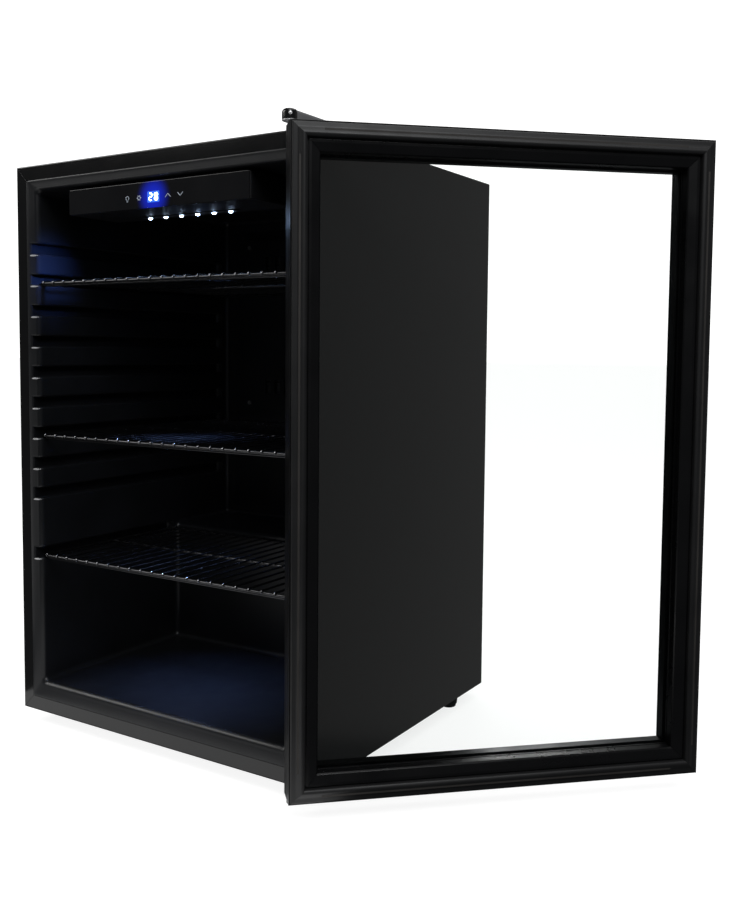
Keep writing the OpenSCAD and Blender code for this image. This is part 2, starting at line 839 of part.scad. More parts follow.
module gasket_magnets() {
    n = magnet_inset;
    color([0.20, 0.18, 0.17]) hung() intersection() {
        ring(9.5, 15.5, door_t + 2.5, door_t + 5);
        union() {
            span([door_x0 + n, door_back_y, door_z0], [door_x1 - n, front_y, door_z1]);
            span([door_x0, door_back_y, door_z0 + n], [door_x1, front_y, door_z1 - n]);
        }
    }
}

// ---------------------------------------------------------------- shelves

// A welded grid: frame rails, a middle rail, thin wires and a guard wire under the front
module shelf(slot, depth) {
    z = slot_z(slot) + shelf_rise;
    y1 = shelf_front_y + depth;
    wire_z = z + frame_r + wire_r - 0.5;
    guard_z = z - frame_r - guard_r + 0.2;
    first = -(wire_count - 1) / 2 * wire_pitch;
    color(chrome) {
        for (y = [shelf_front_y, (shelf_front_y + y1) / 2, y1])
            rod_x([-shelf_half_w, y, z], 2 * shelf_half_w, frame_r);
        for (s = [-1, 1])
            rod_y([s * (shelf_half_w - frame_r), shelf_front_y, z], depth, frame_r - 0.15);
        for (i = [0:wire_count - 1])
            rod_y([first + i * wire_pitch, shelf_front_y - 3, wire_z], depth + 6, wire_r);
        rod_x([first, shelf_front_y, guard_z], -2 * first, guard_r);
    }
}

module shelf_upper() {
    shelf(shelf_slots[0], shelf_d);
}

module shelf_middle() {
    shelf(shelf_slots[1], shelf_d);
}

module shelf_lower() {
    shelf(shelf_slots[2], short_shelf_d);
}

// ---------------------------------------------------------------- levelling feet

module foot(side, row) {
    top = base_z - foot_gap;
    color(rubber) translate([side * foot_x, foot_ys[row], 0]) {
        rotate_extrude() polygon([
            [0, 0], [foot_r - 4, 0], [foot_r - 3, 1], [foot_r, top - 4], [foot_r, top], [0, top]
        ]);
        rod_z([0, 0, top - 1], foot_gap + boss_h + 4, stud_r);
    }
}

module foot_front_left() {
    foot(-1, 0);
}

module foot_front_right() {
    foot(1, 0);
}

module foot_rear_left() {
    foot(-1, 1);
}

module foot_rear_right() {
    foot(1, 1);
}

side_panel_left();
side_panel_right();
top_panel();
bottom_panel();
back_panel();
bay_plate();
base_plate();
insulation_foam();
liner_wall_left();
liner_wall_right();
liner_ceiling();
liner_floor();
liner_back();
liner_step();
evaporator_plate();
evaporator_cover();
temperature_sensor();
control_housing();
control_fascia();
control_display();
touch_icons();
control_board();
led_strip();
led_lamps();
compressor();
compressor_relay();
compressor_grommets();
compressor_bolts();
condenser_coil();
refrigerant_pipes();
drip_pan();
drain_tube();
rear_cover();
cover_screws();
cord_gland();
top_hinge_plate();
top_hinge_cover();
bottom_hinge_plate();
hinge_pins();
hinge_screws();
hinge_washers();
door_rail_hinge();
door_rail_free();
door_rail_top();
door_rail_bottom();
door_corner_keys();
glazing_beads();
glass_outer();
glass_inner();
glass_spacer();
door_gasket();
gasket_magnets();
door_bushes();
shelf_upper();
shelf_middle();
shelf_lower();
foot_front_left();
foot_front_right();
foot_rear_left();
foot_rear_right();
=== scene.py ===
"""The looks of a compact glass door merchandiser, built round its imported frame, in metres."""

import json
from math import cos, pi, radians, sin, sqrt, tan

import bmesh
import bpy
from mathutils import Matrix, Vector


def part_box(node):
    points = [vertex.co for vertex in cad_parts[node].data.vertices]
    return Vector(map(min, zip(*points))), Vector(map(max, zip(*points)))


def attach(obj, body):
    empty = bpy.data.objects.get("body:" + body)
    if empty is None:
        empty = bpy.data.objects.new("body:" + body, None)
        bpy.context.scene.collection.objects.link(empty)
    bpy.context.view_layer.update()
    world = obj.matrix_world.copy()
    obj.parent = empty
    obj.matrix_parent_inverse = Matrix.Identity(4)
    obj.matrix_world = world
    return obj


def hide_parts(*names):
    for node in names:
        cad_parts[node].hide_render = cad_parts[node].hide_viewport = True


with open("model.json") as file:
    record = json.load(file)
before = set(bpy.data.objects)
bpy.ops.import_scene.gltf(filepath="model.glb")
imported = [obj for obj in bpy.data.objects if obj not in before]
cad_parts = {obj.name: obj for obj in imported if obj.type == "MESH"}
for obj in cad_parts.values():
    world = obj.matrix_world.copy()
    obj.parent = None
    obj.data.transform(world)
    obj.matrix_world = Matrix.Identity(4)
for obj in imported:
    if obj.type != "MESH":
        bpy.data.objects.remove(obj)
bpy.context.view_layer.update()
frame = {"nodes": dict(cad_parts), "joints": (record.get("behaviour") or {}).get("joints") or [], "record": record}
mm = 0.001


def link(obj):
    """Puts an object into the scene."""
    bpy.context.scene.collection.objects.link(obj)


# ------------------------------------------------------------------ camera


def make_camera():
    """A camera low at the front right, level with the middle of the door."""
    yaw, pitch, roll = radians(32.967), radians(3.912), radians(-0.385)
    forward = Vector((-sin(yaw) * cos(pitch), cos(yaw) * cos(pitch), -sin(pitch)))
    right = Vector((cos(yaw), sin(yaw), 0))
    down = forward.cross(right)
    across = cos(roll) * right + sin(roll) * down
    below = -sin(roll) * right + cos(roll) * down
    eye = (0.962, -1.2506, 0.5763)
    camera = bpy.data.cameras.new("camera")
    camera.lens = 40
    camera.shift_x = 0.0358
    camera.shift_y = -0.0366
    camera.clip_start = 0.05
    obj = bpy.data.objects.new("camera", camera)
    obj.matrix_world = Matrix((across, -below, -forward)).transposed().to_4x4()
    obj.location = eye
    link(obj)
    bpy.context.scene.camera = obj


make_camera()

# ------------------------------------------------------------------ places taken from the frame

side_lo, side_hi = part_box("side_panel_right")
HALF_W, FRONT_Y, BACK_Y = side_hi.x, side_lo.y, side_hi.y
BASE_Z, TOP_Z = side_lo.z, side_hi.z
FLANGE = HALF_W - side_lo.x
LAND_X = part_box("liner_wall_right")[0].x
FLOOR_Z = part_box("liner_floor")[1].z
CEILING_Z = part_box("control_housing")[1].z
BACK_WALL_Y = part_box("liner_back")[0].y
STEP_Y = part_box("liner_step")[0].y
STEP_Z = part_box("liner_step")[1].z
NOSE_Y = FRONT_Y + 17 * mm

hinge = next(j for j in frame["joints"] if j["name"] == "door_hinge")
AXIS = Vector((hinge["pos_m"][0], hinge["pos_m"][1], 0))
OPEN_ANGLE = -radians(hinge["range_deg"][0])
SWING = Matrix.Translation(AXIS) @ Matrix.Rotation(OPEN_ANGLE, 4, "Z") @ Matrix.Translation(-AXIS)

DOOR_W = 538 * mm
DOOR_T = 40 * mm
DOOR_Y = FRONT_Y - 7 * mm - DOOR_T
DOOR_X = (HALF_W - DOOR_W, HALF_W)
DOOR_Z = (BASE_Z + 4 * mm, TOP_Z - 2 * mm)

SLOT_NUMBERS = (10, 8, 7, 6, 5, 4, 3, 2, 1, 0)
SLOT_PITCH = 45.5 * mm
SLOT_GAP = 18 * mm
SLOT_DEPTH = 12 * mm
SLOT_TOP_Z = BASE_Z + 690 * mm

# ------------------------------------------------------------------ mesh helpers


class Shape:
    """Vertices and faces gathered from lofts before they become one mesh."""

    def __init__(self):
        self.verts, self.faces = [], []

    def loft(self, loops, closed=True, caps=True, wrap=False):
        """Joins equal loops of points with quads, and closes the two ends if asked."""
        base, count = len(self.verts), len(loops[0])
        for loop in loops:
            self.verts += [Vector(p) for p in loop]
        rows = len(loops)
        for i in range(rows if wrap else rows - 1):
            for k in range(count if closed else count - 1):
                a, b = base + i * count, base + (i + 1) % rows * count
                n = (k + 1) % count
                self.faces.append((a + k, a + n, b + n, b + k))
        if caps and closed and not wrap:
            self.faces.append(tuple(base + k for k in reversed(range(count))))
            self.faces.append(tuple(base + (rows - 1) * count + k for k in range(count)))

    def plate(self, lo, hi, axis, corner, edge, steps=3):
        """A block with rounded corners round one axis and softened rims at both ends."""
        u, v = [i for i in range(3) if i != axis]
        turns = quarter(steps)
        levels = [(edge * (1 - sin(a)), lo[axis] + edge * (1 - cos(a))) for a in turns]
        levels += [(edge * (1 - sin(a)), hi[axis] - edge * (1 - cos(a))) for a in reversed(turns)]
        loops = []
        for inset, height in levels:
            radius = max(corner - inset, 0.05 * mm)
            loops.append(raised(outline(lo[u] + inset, hi[u] - inset, lo[v] + inset, hi[v] - inset,
                                        radius), axis, height))
        self.loft(loops)

    def tube(self, path, radius, sides=12, closed=False):
        """A round wire along a path of points, with slightly rounded ends."""
        path = [Vector(p) for p in path]
        n = len(path)
        tangents = []
        for i in range(n):
            before = path[i - 1] if closed or i else path[0]
            after = path[(i + 1) % n] if closed or i < n - 1 else path[-1]
            tangents.append((after - before).normalized())
        side = tangents[0].orthogonal().normalized()
        stations = [(path[i], tangents[i], 1.0) for i in range(n)]
        if not closed:
            tip = 0.35 * radius
            stations.insert(0, (path[0] - tangents[0] * tip, tangents[0], 0.7))
            stations.append((path[-1] + tangents[-1] * tip, tangents[-1], 0.7))
        loops = []
        for centre, tangent, share in stations:
            side = (side - tangent * side.dot(tangent)).normalized()
            other = tangent.cross(side)
            loops.append([centre + radius * share * (cos(2 * pi * k / sides) * side
                                                    + sin(2 * pi * k / sides) * other)
                          for k in range(sides)])
        self.loft(loops, wrap=closed)

    def lathe(self, profile, centre, sides, ripple=0.0, ripples=0):
        """Turns (radius, height) points about the upright through centre, rippled for a grip."""
        loops = []
        for radius, height in profile:
            loop = []
            for k in range(sides):
                angle = 2 * pi * k / sides
                reach = radius * (1 + ripple * cos(ripples * angle))
                loop.append((centre[0] + reach * cos(angle), centre[1] + reach * sin(angle),
                             centre[2] + height))
            loops.append(loop)
        self.loft(loops)

    def prism(self, outline_2d, axis, low, high):
        """Extrudes a 2D outline along an axis."""
        self.loft([raised(outline_2d, axis, height) for height in (low, high)])


def raised(points, axis, height):
    """2D points as 3D ones, at a height along an axis."""
    u, v = [i for i in range(3) if i != axis]
    placed = []
    for p in points:
        point = [0, 0, 0]
        point[u], point[v], point[axis] = p[0], p[1], height
        placed.append(point)
    return placed


def quarter(steps, first=0):
    """The angles of a quarter turn, from step first to the last."""
    return [pi / 2 * k / steps for k in range(first, steps + 1)]


def outline(x0, x1, y0, y1, radius, steps=5):
    """A rounded rectangle as 2D points."""
    points = []
    corners = ((x1 - radius, y1 - radius, 0), (x0 + radius, y1 - radius, 90),
               (x0 + radius, y0 + radius, 180), (x1 - radius, y0 + radius, 270))
    for cx, cy, start in corners:
        for k in range(steps + 1):
            a = radians(start + 90 * k / steps)
            points.append((cx + radius * cos(a), cy + radius * sin(a)))
    return points


def eased(corners, closed=True, steps=4):
    """Replaces each corner (point, radius) of a path by an arc between its two straights."""
    points = []
    n = len(corners)
    for i, (corner, radius) in enumerate(corners):
        corner = Vector(corner)
        if radius <= 0 or (not closed and i in (0, n - 1)):
            points.append(corner)
            continue
        a = (Vector(corners[i - 1][0]) - corner).normalized()
        b = (Vector(corners[(i + 1) % n][0]) - corner).normalized()
        half = a.angle(b) / 2
        centre = corner + (a + b).normalized() * radius / sin(half)
        start = corner + a * radius / tan(half) - centre
        end = corner + b * radius / tan(half) - centre
        sweep = start.angle(end)
        for k in range(steps + 1):
            t = k / steps
            points.append(centre + (start * sin((1 - t) * sweep) + end * sin(t * sweep)) / sin(sweep))
    return points


def profile(corners, steps=3):
    """A closed 2D section in millimetres from (across, depth, radius) corners, in metres."""
    return [Vector((p.x, p.y)) * mm
            for p in eased([(Vector((c[0], c[1], 0)), c[2]) for c in corners], steps=steps)]


def shrunk(section, amount):
    """The section moved inwards by amount at every point."""
    n = len(section)
    area = sum(section[i - 1].x * section[i].y - section[i].x * section[i - 1].y for i in range(n))
    turn = 1 if area > 0 else -1
    moved = []
    for i in range(n):
        along = (section[(i + 1) % n] - section[i - 1]).normalized()
        moved.append(section[i] + Vector((-along.y, along.x)) * turn * amount)
    return moved


def slot_of(node):
    """The material slot that the record gives a node."""
    return next(row["material_slot"] for row in frame["record"]["subparts"] if row["node"] == node)


def place(name, mesh, finish, body, slot, nodes=()):
    """Puts a mesh into the scene as a piece of a body, which may replace CAD nodes."""
    mesh.materials.clear()
    mesh.materials.append(M[finish])
    piece = bpy.data.objects.new(name, mesh)
    link(piece)
    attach(piece, body)
    if nodes:
        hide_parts(*nodes)
    modifier = piece.modifiers.new("level_normals", "WEIGHTED_NORMAL")
    modifier.keep_sharp = True
    modifier.weight = 80
    return piece


def finish_mesh(shape, name, finish, body="cabinet", slot=None, nodes=(), swing=False, angle=40):
    """Makes a piece from a shape: welded, with normals outwards and smooth where it is round."""
    mesh = bpy.data.meshes.new(name)
    mesh.from_pydata([tuple(SWING @ v if swing else v) for v in shape.verts], [], shape.faces)
    work = bmesh.new()
    work.from_mesh(mesh)
    bmesh.ops.remove_doubles(work, verts=work.verts, dist=0.002 * mm)
    bmesh.ops.dissolve_degenerate(work, dist=0.001 * mm, edges=work.edges)
    bmesh.ops.recalc_face_normals(work, faces=work.faces)
    work.to_mesh(mesh)
    work.free()
    mesh.shade_smooth()
    mesh.set_sharp_from_angle(angle=radians(angle))
    return place(name, mesh, finish, body, slot or finish, nodes)


def softened(node, finish, amount, steps=2, body="cabinet", slot=None):
    """Remakes a CAD solid with its sharp edges rounded by amount, in millimetres."""
    least_fold = radians(25)
    mesh = frame["nodes"][node].data.copy()
    mesh.name = f"{node}_softened"
    work = bmesh.new()
    work.from_mesh(mesh)
    bmesh.ops.remove_doubles(work, verts=work.verts, dist=0.01 * mm)
    bmesh.ops.dissolve_limit(work, angle_limit=radians(1), verts=work.verts, edges=work.edges)
    edges = [e for e in work.edges if e.is_manifold and e.calc_face_angle(0) > least_fold]
    bmesh.ops.bevel(work, geom=edges, offset=amount * mm, segments=steps, profile=0.5,
                    affect="EDGES", clamp_overlap=True)
    bmesh.ops.recalc_face_normals(work, faces=work.faces)
    work.to_mesh(mesh)
    work.free()
    mesh.shade_smooth()
    mesh.set_sharp_from_angle(angle=radians(35))
    place(mesh.name, mesh, finish, body, slot or slot_of(node), [node])


def frame_member(shape, section, xs, zs, y, side, gap=0.08 * mm, groove=0.3 * mm):
    """One mitred member of a rectangular frame: its section runs inwards and back from the edge."""
    sign = {"left": 1, "right": -1, "bottom": 1, "top": -1}[side]
    upright = side in ("left", "right")
    across = (xs if upright else zs)[0 if sign > 0 else 1]
    low, high = zs if upright else xs
    stations = [(gap, groove), (gap + groove, 0)] if groove else [(gap, 0)]
    loops = []
    for end, base, step in ((0, low, 1), (1, high, -1)):
        row = []
        for shift, inset in stations:
            inner = shrunk(section, inset) if inset else section
            row.append([(p, base + step * (o.x + shift)) for p, o in zip(inner, section)])
        loops += row if end == 0 else reversed(row)
    placed = []
    for row in loops:
        loop = []
        for p, along in row:
            offset = across + sign * p.x
            loop.append((offset, y + p.y, along) if upright else (along, y + p.y, offset))
        placed.append(loop)
    shape.loft(placed)


# ------------------------------------------------------------------ materials


def principled(name, colour, roughness, metallic=0.0, specular=0.5, coat=0.0):
    """A material whose plain values sit on the shader itself."""
    material = bpy.data.materials.new(name)
    material.use_nodes = True
    shader = material.node_tree.nodes["Principled BSDF"]
    shader.inputs["Base Color"].default_value = (*colour, 1)
    shader.inputs["Roughness"].default_value = roughness
    shader.inputs["Metallic"].default_value = metallic
    shader.inputs["Specular IOR Level"].default_value = specular
    shader.inputs["Coat Weight"].default_value = coat
    shader.inputs["Coat Roughness"].default_value = 0.08
    return material


def noise(material, scale, detail=3.0):
    """Noise in the piece's own space; scale is in features per metre."""
    nodes, links = material.node_tree.nodes, material.node_tree.links
    place = nodes.new("ShaderNodeTexCoord")
    texture = nodes.new("ShaderNodeTexNoise")
    texture.inputs["Scale"].default_value = scale
    texture.inputs["Detail"].default_value = detail
    links.new(place.outputs["Object"], texture.inputs["Vector"])
    return texture.outputs["Fac"]


def vary(material, socket, low, high, source):
    """Drives a shader value between low and high."""
    nodes, links = material.node_tree.nodes, material.node_tree.links
    scale = nodes.new("ShaderNodeMapRange")
    scale.inputs["From Min"].default_value = 0.3
    scale.inputs["From Max"].default_value = 0.7
    scale.inputs["To Min"].default_value = low
    scale.inputs["To Max"].default_value = high
    links.new(source, scale.inputs["Value"])
    links.new(scale.outputs["Result"], nodes["Principled BSDF"].inputs[socket])


def shade(material, dark, light, source):
    """Varies the base colour between two tones."""
    nodes, links = material.node_tree.nodes, material.node_tree.links
    ramp = nodes.new("ShaderNodeValToRGB")
    ramp.color_ramp.elements[0].position = 0.35
    ramp.color_ramp.elements[0].color = (*dark, 1)
    ramp.color_ramp.elements[1].position = 0.65
    ramp.color_ramp.elements[1].color = (*light, 1)
    links.new(source, ramp.inputs["Fac"])
    links.new(ramp.outputs["Color"], nodes["Principled BSDF"].inputs["Base Color"])


def relief(material, depth, source):
    """Fine bumps of a given depth in metres."""
    nodes, links = material.node_tree.nodes, material.node_tree.links
    bump = nodes.new("ShaderNodeBump")
    bump.inputs["Strength"].default_value = 1.0
    bump.inputs["Distance"].default_value = depth
    links.new(source, bump.inputs["Height"])
    links.new(bump.outputs["Normal"], nodes["Principled BSDF"].inputs["Normal"])


def worn(name, dark, light, rough, bump, metallic=0.0, specular=0.5, coat=0.0, blotch=14):
    """The usual finish: blotchy tone and gloss, with a fine relief (mm deep, features per metre)."""
    material = principled(name, light, rough[0], metallic, specular, coat)
    shade(material, dark, light, noise(material, blotch, 4))
    vary(material, "Roughness", rough[0], rough[1], noise(material, blotch * 1.7, 5))
    relief(material, bump[0] * mm, noise(material, bump[1]))
    return material


def spangled_steel(name):
    """Galvanised sheet: flat crystals of slightly different grey."""
    material = principled(name, (0.5, 0.5, 0.51), 0.4, metallic=1.0)
    nodes, links = material.node_tree.nodes, material.node_tree.links
    place = nodes.new("ShaderNodeTexCoord")
    cells = nodes.new("ShaderNodeTexVoronoi")
    cells.inputs["Scale"].default_value = 130
    links.new(place.outputs["Object"], cells.inputs["Vector"])
    shade(material, (0.46, 0.47, 0.48), (0.53, 0.54, 0.55), cells.outputs["Color"])
    vary(material, "Roughness", 0.37, 0.43, cells.outputs["Color"])
    relief(material, 0.01 * mm, noise(material, 900))
    return material


def clear_glass(name):
    """A clear pane: see-through, with reflections that grow towards the edge of view."""
    material = bpy.data.materials.new(name)
    material.use_nodes = True
    nodes, links = material.node_tree.nodes, material.node_tree.links
    output = nodes["Material Output"]
    gloss = nodes["Principled BSDF"]
    gloss.inputs["Base Color"].default_value = (0.02, 0.03, 0.03, 1)
    gloss.inputs["Roughness"].default_value = 0.02
    clear = nodes.new("ShaderNodeBsdfTransparent")
    clear.inputs["Color"].default_value = (0.994, 0.998, 0.996, 1)
    weight = nodes.new("ShaderNodeFresnel")
    weight.inputs["IOR"].default_value = 1.30
    mix = nodes.new("ShaderNodeMixShader")
    links.new(weight.outputs["Fac"], mix.inputs["Fac"])
    links.new(clear.outputs["BSDF"], mix.inputs[1])
    links.new(gloss.outputs["BSDF"], mix.inputs[2])
    links.new(mix.outputs["Shader"], output.inputs["Surface"])
    return material


def acrylic_with_painted_glow(name):
    """Glossy black acrylic with a painted blue glow: emission that fades out a little way from the display."""
    material = worn(name, (0.006, 0.006, 0.007), (0.009, 0.009, 0.010), (0.06, 0.12),
                    (0.004, 500), specular=0.4)
    nodes, links = material.node_tree.nodes, material.node_tree.links
    lo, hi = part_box("control_display")
    place = nodes.new("ShaderNodeTexCoord")
    reach = nodes.new("ShaderNodeVectorMath")
    reach.operation = "DISTANCE"
    reach.inputs[1].default_value = (lo + hi) / 2
    # painted glow: the emission falls from 0.5 next to the display to nothing 34 mm away
    painted_glow_fade = nodes.new("ShaderNodeMapRange")
    painted_glow_fade.interpolation_type = "SMOOTHERSTEP"
    painted_glow_fade.inputs["From Min"].default_value = 7 * mm
    painted_glow_fade.inputs["From Max"].default_value = 34 * mm
    painted_glow_fade.inputs["To Min"].default_value = 0.50
    painted_glow_fade.inputs["To Max"].default_value = 0.0
    links.new(place.outputs["Object"], reach.inputs[0])
    links.new(reach.outputs["Value"], painted_glow_fade.inputs["Value"])
    shader = nodes["Principled BSDF"]
    shader.inputs["Emission Color"].default_value = (0.008, 0.03, 0.9, 1)
    links.new(painted_glow_fade.outputs["Result"], shader.inputs["Emission Strength"])
    return material


def glowing(name, colour, strength, base=(0.6, 0.7, 0.9)):
    """A small lit part."""
    material = principled(name, base, 0.3)
    shader = material.node_tree.nodes["Principled BSDF"]
    shader.inputs["Emission Color"].default_value = (*colour, 1)
    shader.inputs["Emission Strength"].default_value = strength
    relief(material, 0.01 * mm, noise(material, 2500))
    return material


# name: dark and light tones, roughness range, relief (mm deep, features per metre), options
FINISHES = {
    "painted_steel": ((0.0030, 0.0030, 0.0032), (0.0042, 0.0042, 0.0044), (0.12, 0.15), (0.005, 260),
        {"specular": 0.45, "coat": 0.10}),
    "liner_plastic": ((0.0055, 0.006, 0.007), (0.0075, 0.008, 0.0095), (0.30, 0.40), (0.03, 1500),
        {"specular": 0.35}),
    "housing_plastic": ((0.004, 0.004, 0.005), (0.006, 0.006, 0.007), (0.52, 0.62), (0.04, 1500),
        {"specular": 0.30}),
    "frame_plastic": ((0.0035, 0.0035, 0.004), (0.0055, 0.0055, 0.006), (0.28, 0.38), (0.006, 1100),
        {"specular": 0.40}),
    "bead_plastic": ((0.0025, 0.0025, 0.003), (0.004, 0.004, 0.0045), (0.24, 0.34), (0.004, 1100),
        {"specular": 0.40}),
    "gasket_rubber": ((0.008, 0.008, 0.0085), (0.012, 0.012, 0.0125), (0.44, 0.54), (0.02, 900),
        {"specular": 0.50}),
    # light grey that paints the highlights on the slot lips and on the top corner seams
    "lip_plastic": ((0.50, 0.50, 0.51), (0.60, 0.60, 0.61), (0.24, 0.34), (0.02, 1500)),
    "cap_plastic": ((0.004, 0.004, 0.0045), (0.007, 0.007, 0.0075), (0.20, 0.30), (0.03, 1400)),
    # a lighter grey for the rear of the hinge cap: painted sheen on the black cap plastic
    "arm_grey": ((0.15, 0.15, 0.155), (0.19, 0.19, 0.195), (0.30, 0.42), (0.03, 1400)),
    "foot_rubber": ((0.030, 0.030, 0.031), (0.045, 0.045, 0.046), (0.55, 0.75), (0.10, 900)),
    "relay_plastic": ((0.020, 0.020, 0.023), (0.032, 0.032, 0.036), (0.40, 0.55), (0.05, 1300)),
    "compressor_black": ((0.010, 0.010, 0.011), (0.020, 0.020, 0.021), (0.38, 0.60), (0.12, 420)),
    "coil_steel": ((0.012, 0.012, 0.013), (0.020, 0.020, 0.021), (0.30, 0.45), (0.04, 700)),
    "white_bush": ((0.62, 0.62, 0.60), (0.74, 0.74, 0.72), (0.35, 0.50), (0.03, 900)),
    "drain_plastic": ((0.50, 0.50, 0.48), (0.62, 0.62, 0.60), (0.35, 0.55), (0.05, 700)),
    "led_carrier": ((0.012, 0.013, 0.016), (0.020, 0.021, 0.026), (0.45, 0.60), (0.03, 1200)),
    "magnet_strip": ((0.030, 0.027, 0.025), (0.045, 0.041, 0.038), (0.60, 0.80), (0.10, 800)),
    "board_green": ((0.010, 0.10, 0.035), (0.022, 0.17, 0.06), (0.30, 0.45), (0.06, 700)),
    "foam": ((0.66, 0.56, 0.30), (0.80, 0.71, 0.44), (0.80, 0.95), (1.0, 300)),
    "copper_pipe": ((0.62, 0.28, 0.15), (0.80, 0.42, 0.25), (0.22, 0.42), (0.02, 500),
        {"metallic": 1.0, "blotch": 60}),
    "evaporator_aluminium": ((0.10, 0.102, 0.105), (0.15, 0.152, 0.155), (0.32, 0.48), (0.04, 600),
        {"metallic": 1.0}),
    "spacer_aluminium": ((0.05, 0.052, 0.055), (0.08, 0.082, 0.085), (0.30, 0.42), (0.02, 900),
        {"metallic": 1.0}),
    "shelf_chrome": ((0.20, 0.20, 0.21), (0.28, 0.28, 0.29), (0.18, 0.28), (0.01, 900),
        {"metallic": 1.0, "blotch": 40}),
    # darker chrome for the shelf rods: painted shade on the same chrome as the wires
    "rod_chrome": ((0.050, 0.050, 0.052), (0.070, 0.070, 0.073), (0.28, 0.38), (0.01, 900),
        {"metallic": 1.0, "blotch": 40}),
    "screw_steel": ((0.50, 0.50, 0.51), (0.66, 0.66, 0.66), (0.25, 0.42), (0.02, 1500),
        {"metallic": 1.0, "blotch": 200}),
    "pin_steel": ((0.58, 0.58, 0.59), (0.68, 0.68, 0.69), (0.18, 0.30), (0.01, 1500),
        {"metallic": 1.0, "blotch": 200}),
    "hinge_zinc": ((0.72, 0.72, 0.73), (0.86, 0.86, 0.87), (0.25, 0.38), (0.01, 1200),
        {"metallic": 0.3, "blotch": 90}),
}

M = {name: worn(name, *row[:4], **(row[4] if len(row) > 4 else {}))
     for name, row in FINISHES.items()}
M.update({
    # the glossy fascia, with a painted blue glow round its display
    "fascia_gloss": acrylic_with_painted_glow("fascia_gloss"),
    "icon_ink": glowing("icon_ink", (0.62, 0.72, 0.85), 0.16, (0.45, 0.50, 0.56)),
    "galvanised_steel": spangled_steel("galvanised_steel"),
    "pane_glass": clear_glass("pane_glass"),
    "display_lens": glowing("display_lens", (0.02, 0.10, 0.60), 1.6, (0.01, 0.02, 0.05)),
    "display_digits": glowing("display_digits", (0.45, 0.68, 1.0), 14),
    "led_white": glowing("led_white", (0.50, 0.68, 1.0), 22),
})

# ------------------------------------------------------------------ cabinet


def build_shell():
    """The four folded steel sides: a panel, a rounded front fold, the front band and its return."""
    depth = (BACK_Y - FRONT_Y) / mm
    bay_depth = (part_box("bottom_panel")[1].y - FRONT_Y) / mm
    band = FLANGE / mm
    for side, length, node in (("left", depth, "side_panel_left"),
                               ("right", depth, "side_panel_right"),
                               ("top", depth, "top_panel"), ("bottom", bay_depth, "bottom_panel")):
        section = profile([(0, length, 0), (0, 0, 1.8), (band, 0, 1.0), (band, 6, 0),
                           (band - 1, 6, 0), (band - 1, 1, 0.3), (1, 1, 0.8), (1, length, 0)])
        shape = Shape()
        frame_member(shape, section, (-HALF_W, HALF_W), (BASE_Z, TOP_Z), FRONT_Y, side,
                     gap=0.05 * mm, groove=0.22 * mm)
        finish_mesh(shape, f"cabinet_shell_{side}", "painted_steel", nodes=[node])


def build_painted_seam_lines():
    """A light grey strip along the joint where the top band meets each side band: a painted highlight."""
    shape = Shape()
    half = 0.5 * mm
    for side in (-1, 1):
        a = (side * (HALF_W - 1.2 * mm), TOP_Z - 1.2 * mm)
        b = (side * (HALF_W - FLANGE), TOP_Z - FLANGE)
        shape.prism([(a[0] - half, a[1] - side * half), (a[0] + half, a[1] + side * half),
                     (b[0] + half, b[1] + side * half), (b[0] - half, b[1] - side * half)],
                    1, FRONT_Y - 0.05 * mm, FRONT_Y + 0.3 * mm)
    # painted highlight: light grey on black painted steel
    finish_mesh(shape, "corner_seams", "lip_plastic", slot="painted_steel")


def wall_section():
    """The slotted part of a side wall, from the bottom up: (height, depth, slot number)."""
    edge, root = 2.0 * mm, 1.6 * mm
    steps = 4
    points = []
    for number in SLOT_NUMBERS:
        z0 = SLOT_TOP_Z - number * SLOT_PITCH
        z1 = z0 + SLOT_GAP
        half = []
        for a in quarter(steps):
            half.append((-edge + edge * sin(a), edge - edge * cos(a)))
        for a in quarter(steps):
            half.append((root - root * cos(a), SLOT_DEPTH - root + root * sin(a)))
        points += [(z0 + rise, depth, number) for rise, depth in half]
        points += [(z1 - rise, depth, number) for rise, depth in reversed(half)]
    return points


